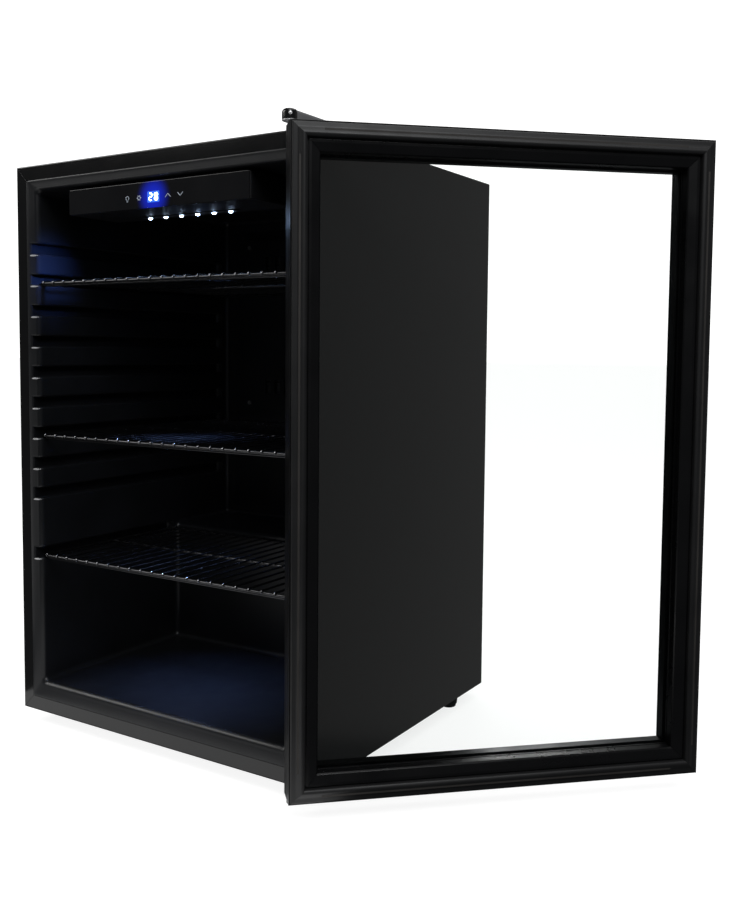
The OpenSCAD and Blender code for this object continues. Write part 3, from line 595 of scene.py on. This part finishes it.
def build_liner():
    """One moulded shell: bullnose front, slotted walls, floor, step, ceiling and back wall."""
    fillet, back_round = 10 * mm, 9 * mm
    arc_steps = 6
    slot_end = BACK_WALL_Y - 12 * mm
    low_slot_end = STEP_Y - 10 * mm
    end_round = 8 * mm
    nose_half_w = HALF_W - FLANGE - 0.3 * mm
    nose_low, nose_high = BASE_Z + FLANGE + 0.3 * mm, TOP_Z - FLANGE - 0.3 * mm
    wall = wall_section()

    def slot_share(number, y):
        """How deep a slot is at y, from 1 down to 0 at its rounded rear end."""
        end = low_slot_end if number == SLOT_NUMBERS[0] else slot_end
        if y <= end - end_round:
            return 1.0
        if y >= end:
            return 0.0
        return sqrt(1 - ((y - end + end_round) / end_round) ** 2)

    def loop(half_w, y, floor, normal, ceiling, radius, inset=0.0):
        """A closed ring round the compartment; floor is the (y, z) its bottom runs through."""
        start_y = floor[0] + normal[0] * radius
        start_z = floor[1] + normal[1] * radius
        right = []
        for a in quarter(arc_steps):
            lift = radius * (1 - cos(a))
            right.append((half_w - radius + radius * sin(a), floor[0] + normal[0] * lift,
                          floor[1] + normal[1] * lift))
        y_wall = start_y if y is None else y
        top = ceiling - radius
        for z, depth, number in wall:
            depth = 0.0 if z < start_z or inset else depth * slot_share(number, y_wall)
            room = LAND_X + SLOT_DEPTH - half_w
            right.append((half_w + max(0.0, min(depth, room)), y_wall, min(max(z, start_z), top)))
        for a in quarter(arc_steps):
            right.append((half_w - radius + radius * cos(a), y_wall, top + radius * sin(a)))
        return right + [(-x, yy, z) for x, yy, z in reversed(right)]

    loops = []
    band, tilt, crest = 0.68, 2.6 * mm, 7.5 * mm
    rim_points = [(0.0, 9 * mm), (0.0, 1.0 * mm), (0.012, 0.6 * mm), (0.03, 0.5 * mm)]
    rim_points += [(band * k, 0.5 * mm + tilt * k ** 1.5)
                   for k in (0.15, 0.28, 0.32, 0.36, 0.45, 0.6, 0.75, 0.88)]
    for a in quarter(8):
        rim_points.append((band + (1 - band) * sin(a),
                           0.5 * mm + tilt + crest * (1 - cos(a))))
    for share, depth in rim_points:
        y = FRONT_Y + depth
        half_w = nose_half_w - (nose_half_w - LAND_X) * share
        low = nose_low + (FLOOR_Z - nose_low) * share
        high = nose_high - (nose_high - CEILING_Z) * share
        loops.append(loop(half_w, y, (y, low), (0, 1), high, fillet * (0.40 + 0.60 * share)))

    def level(y, floor_z):
        loops.append(loop(LAND_X, None, (y, floor_z), (0, 1), CEILING_Z, fillet))

    inner = 11 * mm
    rim = 7 * mm
    for k in range(1, 6):
        level(NOSE_Y + (low_slot_end - end_round - NOSE_Y) * k / 5, FLOOR_Z)
    for a in quarter(6, first=1):
        level(low_slot_end - end_round * (1 - sin(a)), FLOOR_Z)
    step_floor = STEP_Y - inner
    for a in quarter(arc_steps):
        loops.append(loop(LAND_X, None, (step_floor + inner * sin(a), FLOOR_Z + inner * (1 - cos(a))),
                          (-sin(a), cos(a)), CEILING_Z, fillet))
    for a in quarter(arc_steps):
        loops.append(loop(LAND_X, None, (STEP_Y + rim * (1 - cos(a)), STEP_Z - rim * (1 - sin(a))),
                          (-cos(a), sin(a)), CEILING_Z, fillet))
    for k in range(1, 5):
        level(STEP_Y + rim + (slot_end - end_round - STEP_Y - rim) * k / 4, STEP_Z)
    for a in quarter(6, first=1):
        level(slot_end - end_round * (1 - sin(a)), STEP_Z)
    recess, recess_depth = 21 * mm, 1.5 * mm
    ends = [(back_round * (1 - cos(a)), BACK_WALL_Y - back_round * (1 - sin(a)))
            for a in quarter(arc_steps)]
    ends += [(recess, BACK_WALL_Y), (recess + 1.5 * mm, BACK_WALL_Y + recess_depth)]
    for inset, y in ends:
        loops.append(loop(LAND_X - inset, y, (y, STEP_Z + inset), (0, 1), CEILING_Z - inset,
                          max(fillet - inset, 1 * mm), inset=inset))

    shape = Shape()
    shape.loft(loops, caps=False)
    count = len(loops[0])
    last = len(shape.verts) - count
    shape.faces.append(tuple(last + k for k in range(count)))
    piece = finish_mesh(shape, "moulded_liner", "liner_plastic",
                        nodes=["liner_wall_left", "liner_wall_right", "liner_ceiling", "liner_floor",
                               "liner_back", "liner_step"],
                        angle=50)
    thicken(piece, 1.4 * mm)


def build_slot_lips():
    """The rounded lip that the mould leaves along the lower front edge of every slot, coloured light grey as a
    painted highlight.
    """
    shape = Shape()
    drop, radius = 1.3 * mm, 1.4 * mm
    bend = ((242.6, 1.2), (239.0, 1.4), (236.5, 2.0), (234.0, 3.0), (231.9, 5.0), (230.9, 8.5))
    for number in SLOT_NUMBERS:
        z = SLOT_TOP_Z - number * SLOT_PITCH - drop
        for side in (-1, 1):
            shape.tube([(side * x * mm, FRONT_Y + y * mm, z) for x, y in bend], radius)
    # painted highlight: the lips are light grey although the liner is black
    finish_mesh(shape, "slot_lips", "lip_plastic", slot="liner_plastic")


def thicken(piece, amount):
    """Gives an open sheet a wall on its far side."""
    for polygon in piece.data.polygons:
        centre = polygon.center
        inwards = Vector((0, 0, (FLOOR_Z + CEILING_Z) / 2)) - centre
        if abs(centre.y - BACK_WALL_Y) < 2 * mm or abs(centre.x) > LAND_X - 1 * mm:
            faces_in = polygon.normal.dot(inwards) > 0
            break
    modifier = piece.modifiers.new("wall", "SOLIDIFY")
    modifier.thickness = amount
    modifier.offset = -1 if faces_in else 1
    modifier.use_even_offset = False
    piece.modifiers.move(len(piece.modifiers) - 1, 0)


def build_hinge_cap():
    """A rounded cap over the top hinge, hollow beneath, and the steel leaf that shows under it."""
    lo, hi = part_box("top_hinge_cover")
    leaf_z = lo.z + 2.0 * mm
    half = (hi.x - lo.x) / 2 - 3.0 * mm
    centre_x = (lo.x + hi.x) / 2 - 0.5 * mm
    front = lo.y + 0.5 * mm

    def hood(reach_back, trim):
        """A rounded hood, hollow beneath, that reaches back from the pivot."""
        top = hi.z - trim
        rise = 5 * mm

        def ring(inset, z):
            inset += trim
            return [(p[0], p[1], z) for p in outline(centre_x - half + inset, centre_x + half - inset,
                                                     front + inset, reach_back, half - inset - trim, 9)]

        loops = [ring(2 * mm, top - 2 * mm), ring(2 * mm, leaf_z), ring(0.4 * mm, leaf_z),
                 ring(0, leaf_z + 0.5 * mm)]
        for a in quarter(7):
            loops.append(ring(rise * (1 - cos(a)), top - rise + rise * sin(a)))
        loops.append(ring(half - trim - 1.2 * mm, top))
        shape = Shape()
        shape.loft(loops)
        return shape

    finish_mesh(hood(front + 2 * half + 1 * mm, 0), "hinge_cap", "cap_plastic",
                nodes=["top_hinge_cover"])
    # the rear of the cap in lighter grey, a painted sheen; its slot is the black cap plastic
    finish_mesh(hood(hi.y, 0.6 * mm), "hinge_cap_arm", "arm_grey", slot="cap_plastic",
                nodes=["top_hinge_cover"])
    leaf = Shape()
    leaf.plate((centre_x - half, front, lo.z + 0.7 * mm), (centre_x + half, hi.y - 4 * mm, leaf_z),
               2, half, 0.3 * mm)
    finish_mesh(leaf, "hinge_leaf_top", "hinge_zinc", slot="galvanised_steel",
                nodes=["top_hinge_plate"])
    screw = Shape()
    add_screw(screw, 2.2 * mm)
    facing = radians(44)
    out = Vector((sin(facing), -cos(facing), 0))
    seat = Vector((centre_x, front + half, leaf_z + 6.5 * mm)) + out * (half - 0.3 * mm)
    turn = out.to_track_quat("Z", "Y").to_matrix()
    screw.verts = [seat + turn @ v for v in screw.verts]
    finish_mesh(screw, "hinge_cap_screw", "hinge_zinc", slot="screw_steel")


def add_screw(shape, radius):
    """A pan head with a cross recess, at the origin and facing up."""
    rise = radius * 0.45
    profile_points = [(radius, 0), (radius, rise * 0.3)]
    profile_points += [(radius * cos(a), rise * (0.3 + 0.7 * sin(a)))
                       for a in (pi / 2 * k / 5 for k in range(1, 5))]
    cross = radius * 0.30
    profile_points += [(cross, rise), (cross * 0.7, rise * 0.35), (0.02 * mm, rise * 0.2)]
    sides = 32
    loops = []
    for index, (reach, height) in enumerate(profile_points):
        loop = []
        for k in range(sides):
            angle = 2 * pi * k / sides
            lobes = 1 + 0.75 * max(0.0, cos(4 * angle)) ** 3 if index >= len(profile_points) - 3 else 1
            loop.append((reach * lobes * cos(angle), reach * lobes * sin(angle), height))
        loops.append(loop)
    shape.loft(loops)


FOOT_BODIES = {"foot_front_left": "front_left_foot", "foot_front_right": "front_right_foot",
               "foot_rear_left": "rear_left_foot", "foot_rear_right": "rear_right_foot"}


def build_foot(name, body):
    """A ribbed screw foot."""
    lo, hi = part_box(name)
    centre = ((lo.x + hi.x) / 2, (lo.y + hi.y) / 2, lo.z)
    radius = (hi.x - lo.x) / 2
    pad_h = 18 * mm
    shape = Shape()
    shape.lathe([(0.1 * mm, 0.6 * mm), (radius - 6.5 * mm, 0.6 * mm), (radius - 6 * mm, 0),
                 (radius - 4.2 * mm, 0), (radius - 3.2 * mm, 0.8 * mm), (radius - 2.6 * mm, 4 * mm)],
                centre, sides=96)
    shape.lathe([(radius - 2.6 * mm, 4 * mm), (radius - 1.6 * mm, 5 * mm), (radius - 0.6 * mm, 15 * mm),
                 (radius - 1.2 * mm, pad_h - 0.5 * mm), (radius - 2.4 * mm, pad_h), (3.9 * mm, pad_h)],
                centre, sides=96, ripple=0.02, ripples=16)
    shape.lathe([(3.9 * mm, pad_h - 1 * mm), (3.9 * mm, hi.z - lo.z - 1 * mm),
                 (3.1 * mm, hi.z - lo.z)], centre, sides=24)
    finish_mesh(shape, f"{name}_ribbed", "foot_rubber", body=body, nodes=[name])


# ------------------------------------------------------------------ controls and light


def build_controls():
    """The moulded housing, the glossy fascia, its lit digits and touch marks, and the lamps."""
    lo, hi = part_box("control_housing")
    face_lo, face_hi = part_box("control_fascia")
    shape = Shape()
    shape.plate((lo.x, lo.y, lo.z), (hi.x, hi.y, face_hi.z), 2, 3 * mm, 1.2 * mm, steps=4)
    shape.plate((lo.x + 12 * mm, lo.y + 12 * mm, face_hi.z - 2 * mm), (hi.x - 12 * mm, hi.y, hi.z),
                2, 4 * mm, 0.5 * mm)
    finish_mesh(shape, "control_housing_moulded", "housing_plastic", slot="liner_plastic",
                nodes=["control_housing"])

    shape = Shape()
    shape.plate((face_lo.x, face_lo.y, face_lo.z), (face_hi.x, face_hi.y, face_hi.z),
                1, 2.2 * mm, 0.9 * mm, steps=4)
    finish_mesh(shape, "control_fascia_glossy", "fascia_gloss", nodes=["control_fascia"])

    lens_lo, lens_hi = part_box("control_display")
    front = face_lo.y
    shape = Shape()
    shape.plate((lens_lo.x, front - 0.12 * mm, lens_lo.z), (lens_hi.x, front + 1 * mm, lens_hi.z),
                1, 1.5 * mm, 0.1 * mm)
    finish_mesh(shape, "control_display_lens", "display_lens", nodes=["control_display"])
    shape = Shape()
    middle = (lens_lo.z + lens_hi.z) / 2
    for offset, lit in ((-5 * mm, "abged"), (5 * mm, "abcdefg")):
        add_digit(shape, offset, middle, front - 0.2 * mm, lit)
    finish_mesh(shape, "control_digits", "display_digits", slot="display_lens")

    shape = Shape()
    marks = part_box("touch_icons")
    outer = marks[1].x - 3.4 * mm
    inner = outer - 22 * mm
    y = front - 0.15 * mm
    add_lamp_mark(shape, -outer, middle, y)
    add_ring_mark(shape, -inner, middle, y)
    add_chevron(shape, inner, middle, y, 1)
    add_chevron(shape, outer, middle, y, -1)
    finish_mesh(shape, "touch_marks", "icon_ink", nodes=["touch_icons"])

    strip_lo, strip_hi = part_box("led_strip")
    shape = Shape()
    shape.plate(strip_lo, strip_hi, 2, 3 * mm, 0.5 * mm)
    finish_mesh(shape, "lamp_carrier", "led_carrier", nodes=["led_strip"])
    lamp_lo, lamp_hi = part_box("led_lamps")
    shape = Shape()
    count = 6
    radius = 2.8 * mm
    for k in range(count):
        x = lamp_lo.x + radius + k * (lamp_hi.x - lamp_lo.x - 2 * radius) / (count - 1)
        dome = [(radius, 0), (radius, -0.8 * mm)]
        dome += [(radius * cos(a), -0.8 * mm - 1.6 * mm * sin(a))
                 for a in (pi / 2 * k2 / 5 for k2 in range(1, 5))]
        dome.append((0.05 * mm, -2.4 * mm))
        shape.lathe(dome, (x, (lamp_lo.y + lamp_hi.y) / 2, lamp_hi.z), sides=20)
    finish_mesh(shape, "lamp_domes", "led_white", nodes=["led_lamps"])


def add_digit(shape, x, z, y, lit):
    """A seven segment figure, with the segments in lit raised a little."""
    half_w, half_h, stroke = 2.6 * mm, 4.6 * mm, 0.65 * mm
    bars = {"a": (0, half_h, True), "g": (0, 0, True), "d": (0, -half_h, True),
            "b": (half_w, half_h / 2, False), "c": (half_w, -half_h / 2, False),
            "f": (-half_w, half_h / 2, False), "e": (-half_w, -half_h / 2, False)}
    for name in lit:
        dx, dz, flat = bars[name]
        long_half = (half_w if flat else half_h / 2) - 0.45 * mm
        points = [(-long_half, 0), (-long_half + stroke, stroke), (long_half - stroke, stroke),
                  (long_half, 0), (long_half - stroke, -stroke), (-long_half + stroke, -stroke)]
        placed = [(x + dx + (p[0] if flat else p[1]), z + dz + (p[1] if flat else p[0]))
                  for p in points]
        shape.prism(placed, 1, y, y + 0.15 * mm)


def add_stroke(shape, points, y, width=0.8 * mm, closed=False):
    """A thin raised line on the fascia through 2D points."""
    shape.tube([(p[0], y, p[1]) for p in points], width / 2, 8, closed)


def add_ring_mark(shape, x, z, y):
    """A small gear-like ring."""
    ring = [(x + 2.4 * mm * cos(2 * pi * k / 20), z + 2.4 * mm * sin(2 * pi * k / 20))
            for k in range(20)]
    add_stroke(shape, ring, y, closed=True)
    for k in range(6):
        a = pi / 3 * k
        add_stroke(shape, [(x + 2.6 * mm * cos(a), z + 2.6 * mm * sin(a)),
                           (x + 3.8 * mm * cos(a), z + 3.8 * mm * sin(a))], y)


def add_lamp_mark(shape, x, z, y):
    """A small lamp: a bulb and its cap."""
    bulb = [(x + 2.7 * mm * cos(radians(a)), z + 1.0 * mm + 2.7 * mm * sin(radians(a)))
            for a in range(-60, 241, 20)]
    add_stroke(shape, bulb, y)
    for drop in (2.5, 3.9):
        add_stroke(shape, [(x - 1.3 * mm, z - drop * mm), (x + 1.3 * mm, z - drop * mm)], y)


def add_chevron(shape, x, z, y, way):
    """An arrow head that points up or down."""
    add_stroke(shape, [(x - 4.6 * mm, z - way * 2.2 * mm), (x, z + way * 2.2 * mm),
                       (x + 4.6 * mm, z - way * 2.2 * mm)], y, 1.0 * mm)


# ------------------------------------------------------------------ shelves


def build_shelf(node, body):
    """A welded grid: a bent frame rod, a middle rod, wires hooked over the front, a guard rod."""
    lo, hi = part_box(node)
    frame_r, wire_r, guard_r = 2.2 * mm, 1.45 * mm, 1.6 * mm
    half_w = hi.x - 2.5 * mm
    front = lo.y + 3 * mm
    back = hi.y - 3 * mm
    wire_z = hi.z - wire_r
    rod_z = wire_z - frame_r - wire_r + 0.6 * mm
    guard_z = rod_z - frame_r - guard_r + 0.7 * mm
    count, pitch = 22, 21.5 * mm
    first = -(count - 1) / 2 * pitch
    bend_r = 8 * mm
    rods = Shape()
    rods.tube(eased([((-half_w, front, rod_z), bend_r), ((half_w, front, rod_z), bend_r),
                     ((half_w, back, rod_z), bend_r), ((-half_w, back, rod_z), bend_r)], steps=6),
              frame_r, 14, closed=True)
    rods.tube([(-half_w, (front + back) / 2, rod_z), (half_w, (front + back) / 2, rod_z)],
              frame_r, 14)
    rods.tube([(first - 2 * mm, front + 1.8 * mm, guard_z),
               (-first + 2 * mm, front + 1.8 * mm, guard_z)], guard_r, 12)
    # the rods get darker chrome than the wires: painted shade
    finish_mesh(rods, f"{node}_rods", "rod_chrome", body=body, slot="shelf_chrome", nodes=[node])
    wires = Shape()
    tip_y = front - frame_r - 0.7 * mm
    for k in range(count):
        x = first + k * pitch
        wires.tube(eased([((x, back + 3 * mm, wire_z), 0), ((x, tip_y, wire_z), 2.2 * mm),
                          ((x, tip_y, wire_z - 2.6 * mm), 0)], closed=False, steps=4), wire_r, 10)
    finish_mesh(wires, f"{node}_wires", "shelf_chrome", body=body, nodes=[node])


# ------------------------------------------------------------------ door


def build_door():
    """Frame members, gasket and beads, built closed and swung to the stored angle."""
    section = profile([(0, 0, 3.0), (37, 0, 1.0), (37, 3, 0.8), (26.2, 3, 0.3), (26.2, 40, 1.0),
                       (24, 40, 0.4), (24, 39.2, 0.2), (1.0, 39.2, 0.2), (1.0, 40, 0.3), (0, 40, 0.4),
                       (0, 30.4, 0.2), (1.3, 30.0, 0.2), (1.3, 28.6, 0.2), (0, 28.2, 0.2),
                       (0, 13.6, 0.2), (1.3, 13.2, 0.2), (1.3, 11.8, 0.2), (0, 11.4, 0.2)])
    for side, node in (("left", "door_rail_free"), ("right", "door_rail_hinge"),
                       ("top", "door_rail_top"), ("bottom", "door_rail_bottom")):
        shape = Shape()
        frame_member(shape, section, DOOR_X, DOOR_Z, DOOR_Y, side, groove=0.15 * mm)
        finish_mesh(shape, f"door_frame_{side}", "frame_plastic", body="door", nodes=[node], swing=True)

    t = DOOR_T / mm
    bead = profile([(26.3, t - 17, 0), (37, t - 17, 0.2), (37, t - 14.6, 0.4), (36.4, t - 13.4, 0.5),
                    (36.0, t - 3.6, 1.0), (34.6, t - 1.8, 1.0), (25.0, t + 1.0, 2.0),
                    (21.6, t + 1.2, 0.5), (21.2, t + 0.15, 0.2), (26.3, t + 0.15, 0)])
    shape = Shape()
    for side in ("left", "right", "top", "bottom"):
        frame_member(shape, bead, DOOR_X, DOOR_Z, DOOR_Y, side, groove=0.15 * mm)
    finish_mesh(shape, "glazing_bead_strips", "bead_plastic", body="door", nodes=["glazing_beads"],
                swing=True)

    seal = profile([(12.45, t, 0), (2.0, t, 0), (1.8, t + 0.9, 0.4), (3.2, t + 2.0, 1.0),
                    (8.6, t + 2.7, 5.0), (11.8, t + 5.0, 3.2), (15.4, t + 6.9, 3.4),
                    (19.3, t + 5.2, 2.6), (20.0, t, 0), (12.55, t, 0), (12.55, t + 1.6, 0),
                    (18.4, t + 1.6, 0.3), (18.4, t + 4.8, 0.6), (15.4, t + 4.9, 0.6),
                    (12.0, t + 2.6, 0.5), (12.45, t + 1.6, 0)])
    shape = Shape()
    for side in ("left", "right", "top", "bottom"):
        frame_member(shape, seal, DOOR_X, DOOR_Z, DOOR_Y, side, gap=0.05 * mm, groove=0)
    finish_mesh(shape, "door_seal", "gasket_rubber", body="door", nodes=["door_gasket"], swing=True)


# ------------------------------------------------------------------ back


def build_rear_cover():
    """The bay cover with its rim softened, and a pressed hood beside each of its vents."""
    softened("rear_cover", "painted_steel", 0.3)
    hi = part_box("rear_cover")[1]
    rows, row_pitch, row_low = 2, 82, 34
    vents, vent_pitch, first_edge = 18, 20, -153.5
    shape = Shape()
    for row in range(rows):
        for k in range(vents):
            edge_x = (first_edge + vent_pitch * k) * mm
            z0 = BASE_Z + (row_low + row_pitch * row) * mm
            hood = [(edge_x - 2.2, 0.0), (edge_x - 1.4, 0.5), (edge_x + 2.6, 2.3), (edge_x + 3.2, 2.3),
                    (edge_x + 3.2, 1.9), (edge_x - 0.8, 0.0)]
            hood = [(edge_x + (p[0] - edge_x) * mm, hi.y - 0.1 * mm + p[1] * mm) for p in hood]
            loops = []
            for z, share in ((z0, 0.05), (z0 + 2 * mm, 0.8), (z0 + 5 * mm, 1.0),
                             (z0 + 57 * mm, 1.0), (z0 + 60 * mm, 0.8), (z0 + 62 * mm, 0.05)):
                loops.append([(p[0], hi.y - 0.1 * mm + (p[1] - hi.y + 0.1 * mm) * share, z)
                              for p in hood])
            shape.loft(loops)
    finish_mesh(shape, "rear_cover_louvres", "painted_steel")


def build_small_parts():
    """Rounds the edges of the moulded and pressed parts that keep their CAD form."""
    softened("evaporator_cover", "liner_plastic", 1.2, 3)
    softened("back_panel", "painted_steel", 0.4)
    softened("base_plate", "galvanised_steel", 0.4)
    softened("compressor_relay", "relay_plastic", 2.0, 3)
    softened("temperature_sensor", "relay_plastic", 1.0)
    softened("drip_pan", "drain_plastic", 1.0, 3, slot="drain_plastic")
    softened("cord_gland", "foot_rubber", 0.5)
    softened("door_corner_keys", "relay_plastic", 0.5, body="door")


# ------------------------------------------------------------------ put it together


def paint_cad_nodes():
    """Gives every CAD node the material of its slot."""
    for row in frame["record"]["subparts"]:
        data = frame["nodes"][row["node"]].data
        data.materials.clear()
        data.materials.append(M[row["material_slot"]])


def build_stage():
    """A pale floor that only the camera sees, nearly free of shadow."""
    floor_material = principled("studio_floor", (0.30, 0.30, 0.30), 0.9)
    shader = floor_material.node_tree.nodes["Principled BSDF"]
    shader.inputs["Emission Color"].default_value = (1, 1, 1, 1)
    shader.inputs["Emission Strength"].default_value = 0.90
    mesh = bpy.data.meshes.new("studio_floor")
    reach = 40.0
    mesh.from_pydata([(-reach, -reach, 0), (reach, -reach, 0), (reach, reach, 0), (-reach, reach, 0)],
                     [], [(0, 1, 2, 3)])
    mesh.materials.append(floor_material)
    floor = bpy.data.objects.new("studio_floor", mesh)
    link(floor)
    floor.visible_glossy = False
    floor.visible_diffuse = False
    only_floor = bpy.data.collections.new("only_floor")
    only_floor.objects.link(floor)
    sun = bpy.data.lights.new("floor_sun", "SUN")
    sun.energy = 1.6
    sun.angle = radians(80)
    lamp = bpy.data.objects.new("floor_sun", sun)
    link(lamp)
    lamp.light_linking.receiver_collection = only_floor


def softbox(name, place, target, size, energy, colour=(1, 1, 1), only=()):
    """A rectangular area light that looks at a target, for all pieces or only for some."""
    light = bpy.data.lights.new(name, "AREA")
    light.shape = "RECTANGLE"
    light.size, light.size_y = size
    light.energy = energy
    light.color = colour
    obj = bpy.data.objects.new(name, light)
    obj.location = place
    obj.rotation_euler = (Vector(target) - Vector(place)).to_track_quat("-Z", "Y").to_euler()
    obj.visible_camera = False
    link(obj)
    if only:
        group = bpy.data.collections.new(f"{name}_receivers")
        for piece_name in only:
            group.objects.link(bpy.data.objects[piece_name])
        obj.light_linking.receiver_collection = group
    return obj


def build_lights():
    """A white surround for the camera, a dim one for reflections, and soft boxes."""
    world = bpy.data.worlds.new("studio")
    bpy.context.scene.world = world
    world.use_nodes = True
    nodes, links = world.node_tree.nodes, world.node_tree.links
    output = nodes["World Output"]
    dim = nodes["Background"]
    dim.inputs["Color"].default_value = (0.94, 0.97, 1.0, 1)
    dim.inputs["Strength"].default_value = 0.07
    white = nodes.new("ShaderNodeBackground")
    white.inputs["Color"].default_value = (1, 1, 1, 1)
    white.inputs["Strength"].default_value = 1.35
    path = nodes.new("ShaderNodeLightPath")
    mix = nodes.new("ShaderNodeMixShader")
    links.new(path.outputs["Is Camera Ray"], mix.inputs["Fac"])
    links.new(dim.outputs["Background"], mix.inputs[1])
    links.new(white.outputs["Background"], mix.inputs[2])
    links.new(mix.outputs["Shader"], output.inputs["Surface"])

    middle = (0.1, -0.2, 0.45)
    softbox("key_left", (-2.3, -1.7, 2.2), middle, (2.0, 1.2), 40, (1.0, 0.99, 0.97))
    softbox("key_right", (1.75, -1.55, 2.6), middle, (1.5, 1.3), 44, (0.98, 0.99, 1.0))
    softbox("top", (0.3, 0.4, 2.8), middle, (1.8, 1.8), 14)
    softbox("rear", (-1.2, 2.6, 1.6), middle, (1.6, 1.6), 20)
    softbox("ground_far", (-1.8, -1.9, 0.01), (-1.8, -1.9, 1), (2.6, 2.6), 18, only=("moulded_liner",))
    softbox("ground_near", (0.0, -0.5, 0.01), (0.0, -0.5, 1), (0.7, 0.46), 0.9)
    softbox("side", (1.8, 2.6, 0.4), (0.27, 0, 0.4), (2.6, 3.2), 2.6, (1.0, 0.97, 0.95))

    strip_lo, strip_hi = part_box("led_strip")
    strip = ((strip_lo.x + strip_hi.x) / 2, (strip_lo.y + strip_hi.y) / 2, strip_lo.z - 6 * mm)
    inside = ("moulded_liner", "shelf_upper_wires", "shelf_middle_wires", "shelf_lower_wires")
    wash = softbox("lamp_wash", strip, (-0.01, -0.16, 0), (0.11, 0.01), 0.63, (0.28, 0.44, 1.0),
                   only=inside)
    wash.data.spread = radians(35)
    softbox("lamp_glow", strip, (strip[0], strip[1], 0), (0.17, 0.01), 0.06, (0.4, 0.6, 1.0))
    lens_lo, lens_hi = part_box("control_display")
    middle_z = (lens_lo.z + lens_hi.z) / 2
    glow = softbox("display_wash", (-0.08, lens_lo.y + 0.01, middle_z - 0.03), (-0.25, -0.23, 0.675),
                   (0.03, 0.03), 0.12, (0.10, 0.24, 1.0), only=inside)
    glow.data.spread = radians(46)
    glow.visible_glossy = False


bpy.context.scene.view_settings.view_transform = "Standard"
paint_cad_nodes()
build_shell()
build_painted_seam_lines()
build_liner()
build_slot_lips()
build_hinge_cap()
softened("bottom_hinge_plate", "painted_steel", 0.4)
for foot_name, foot_body in FOOT_BODIES.items():
    build_foot(foot_name, foot_body)
build_controls()
for level_name in ("upper", "middle", "lower"):
    build_shelf(f"shelf_{level_name}", f"{level_name}_shelf")
build_door()
build_rear_cover()
build_small_parts()
build_stage()
build_lights()
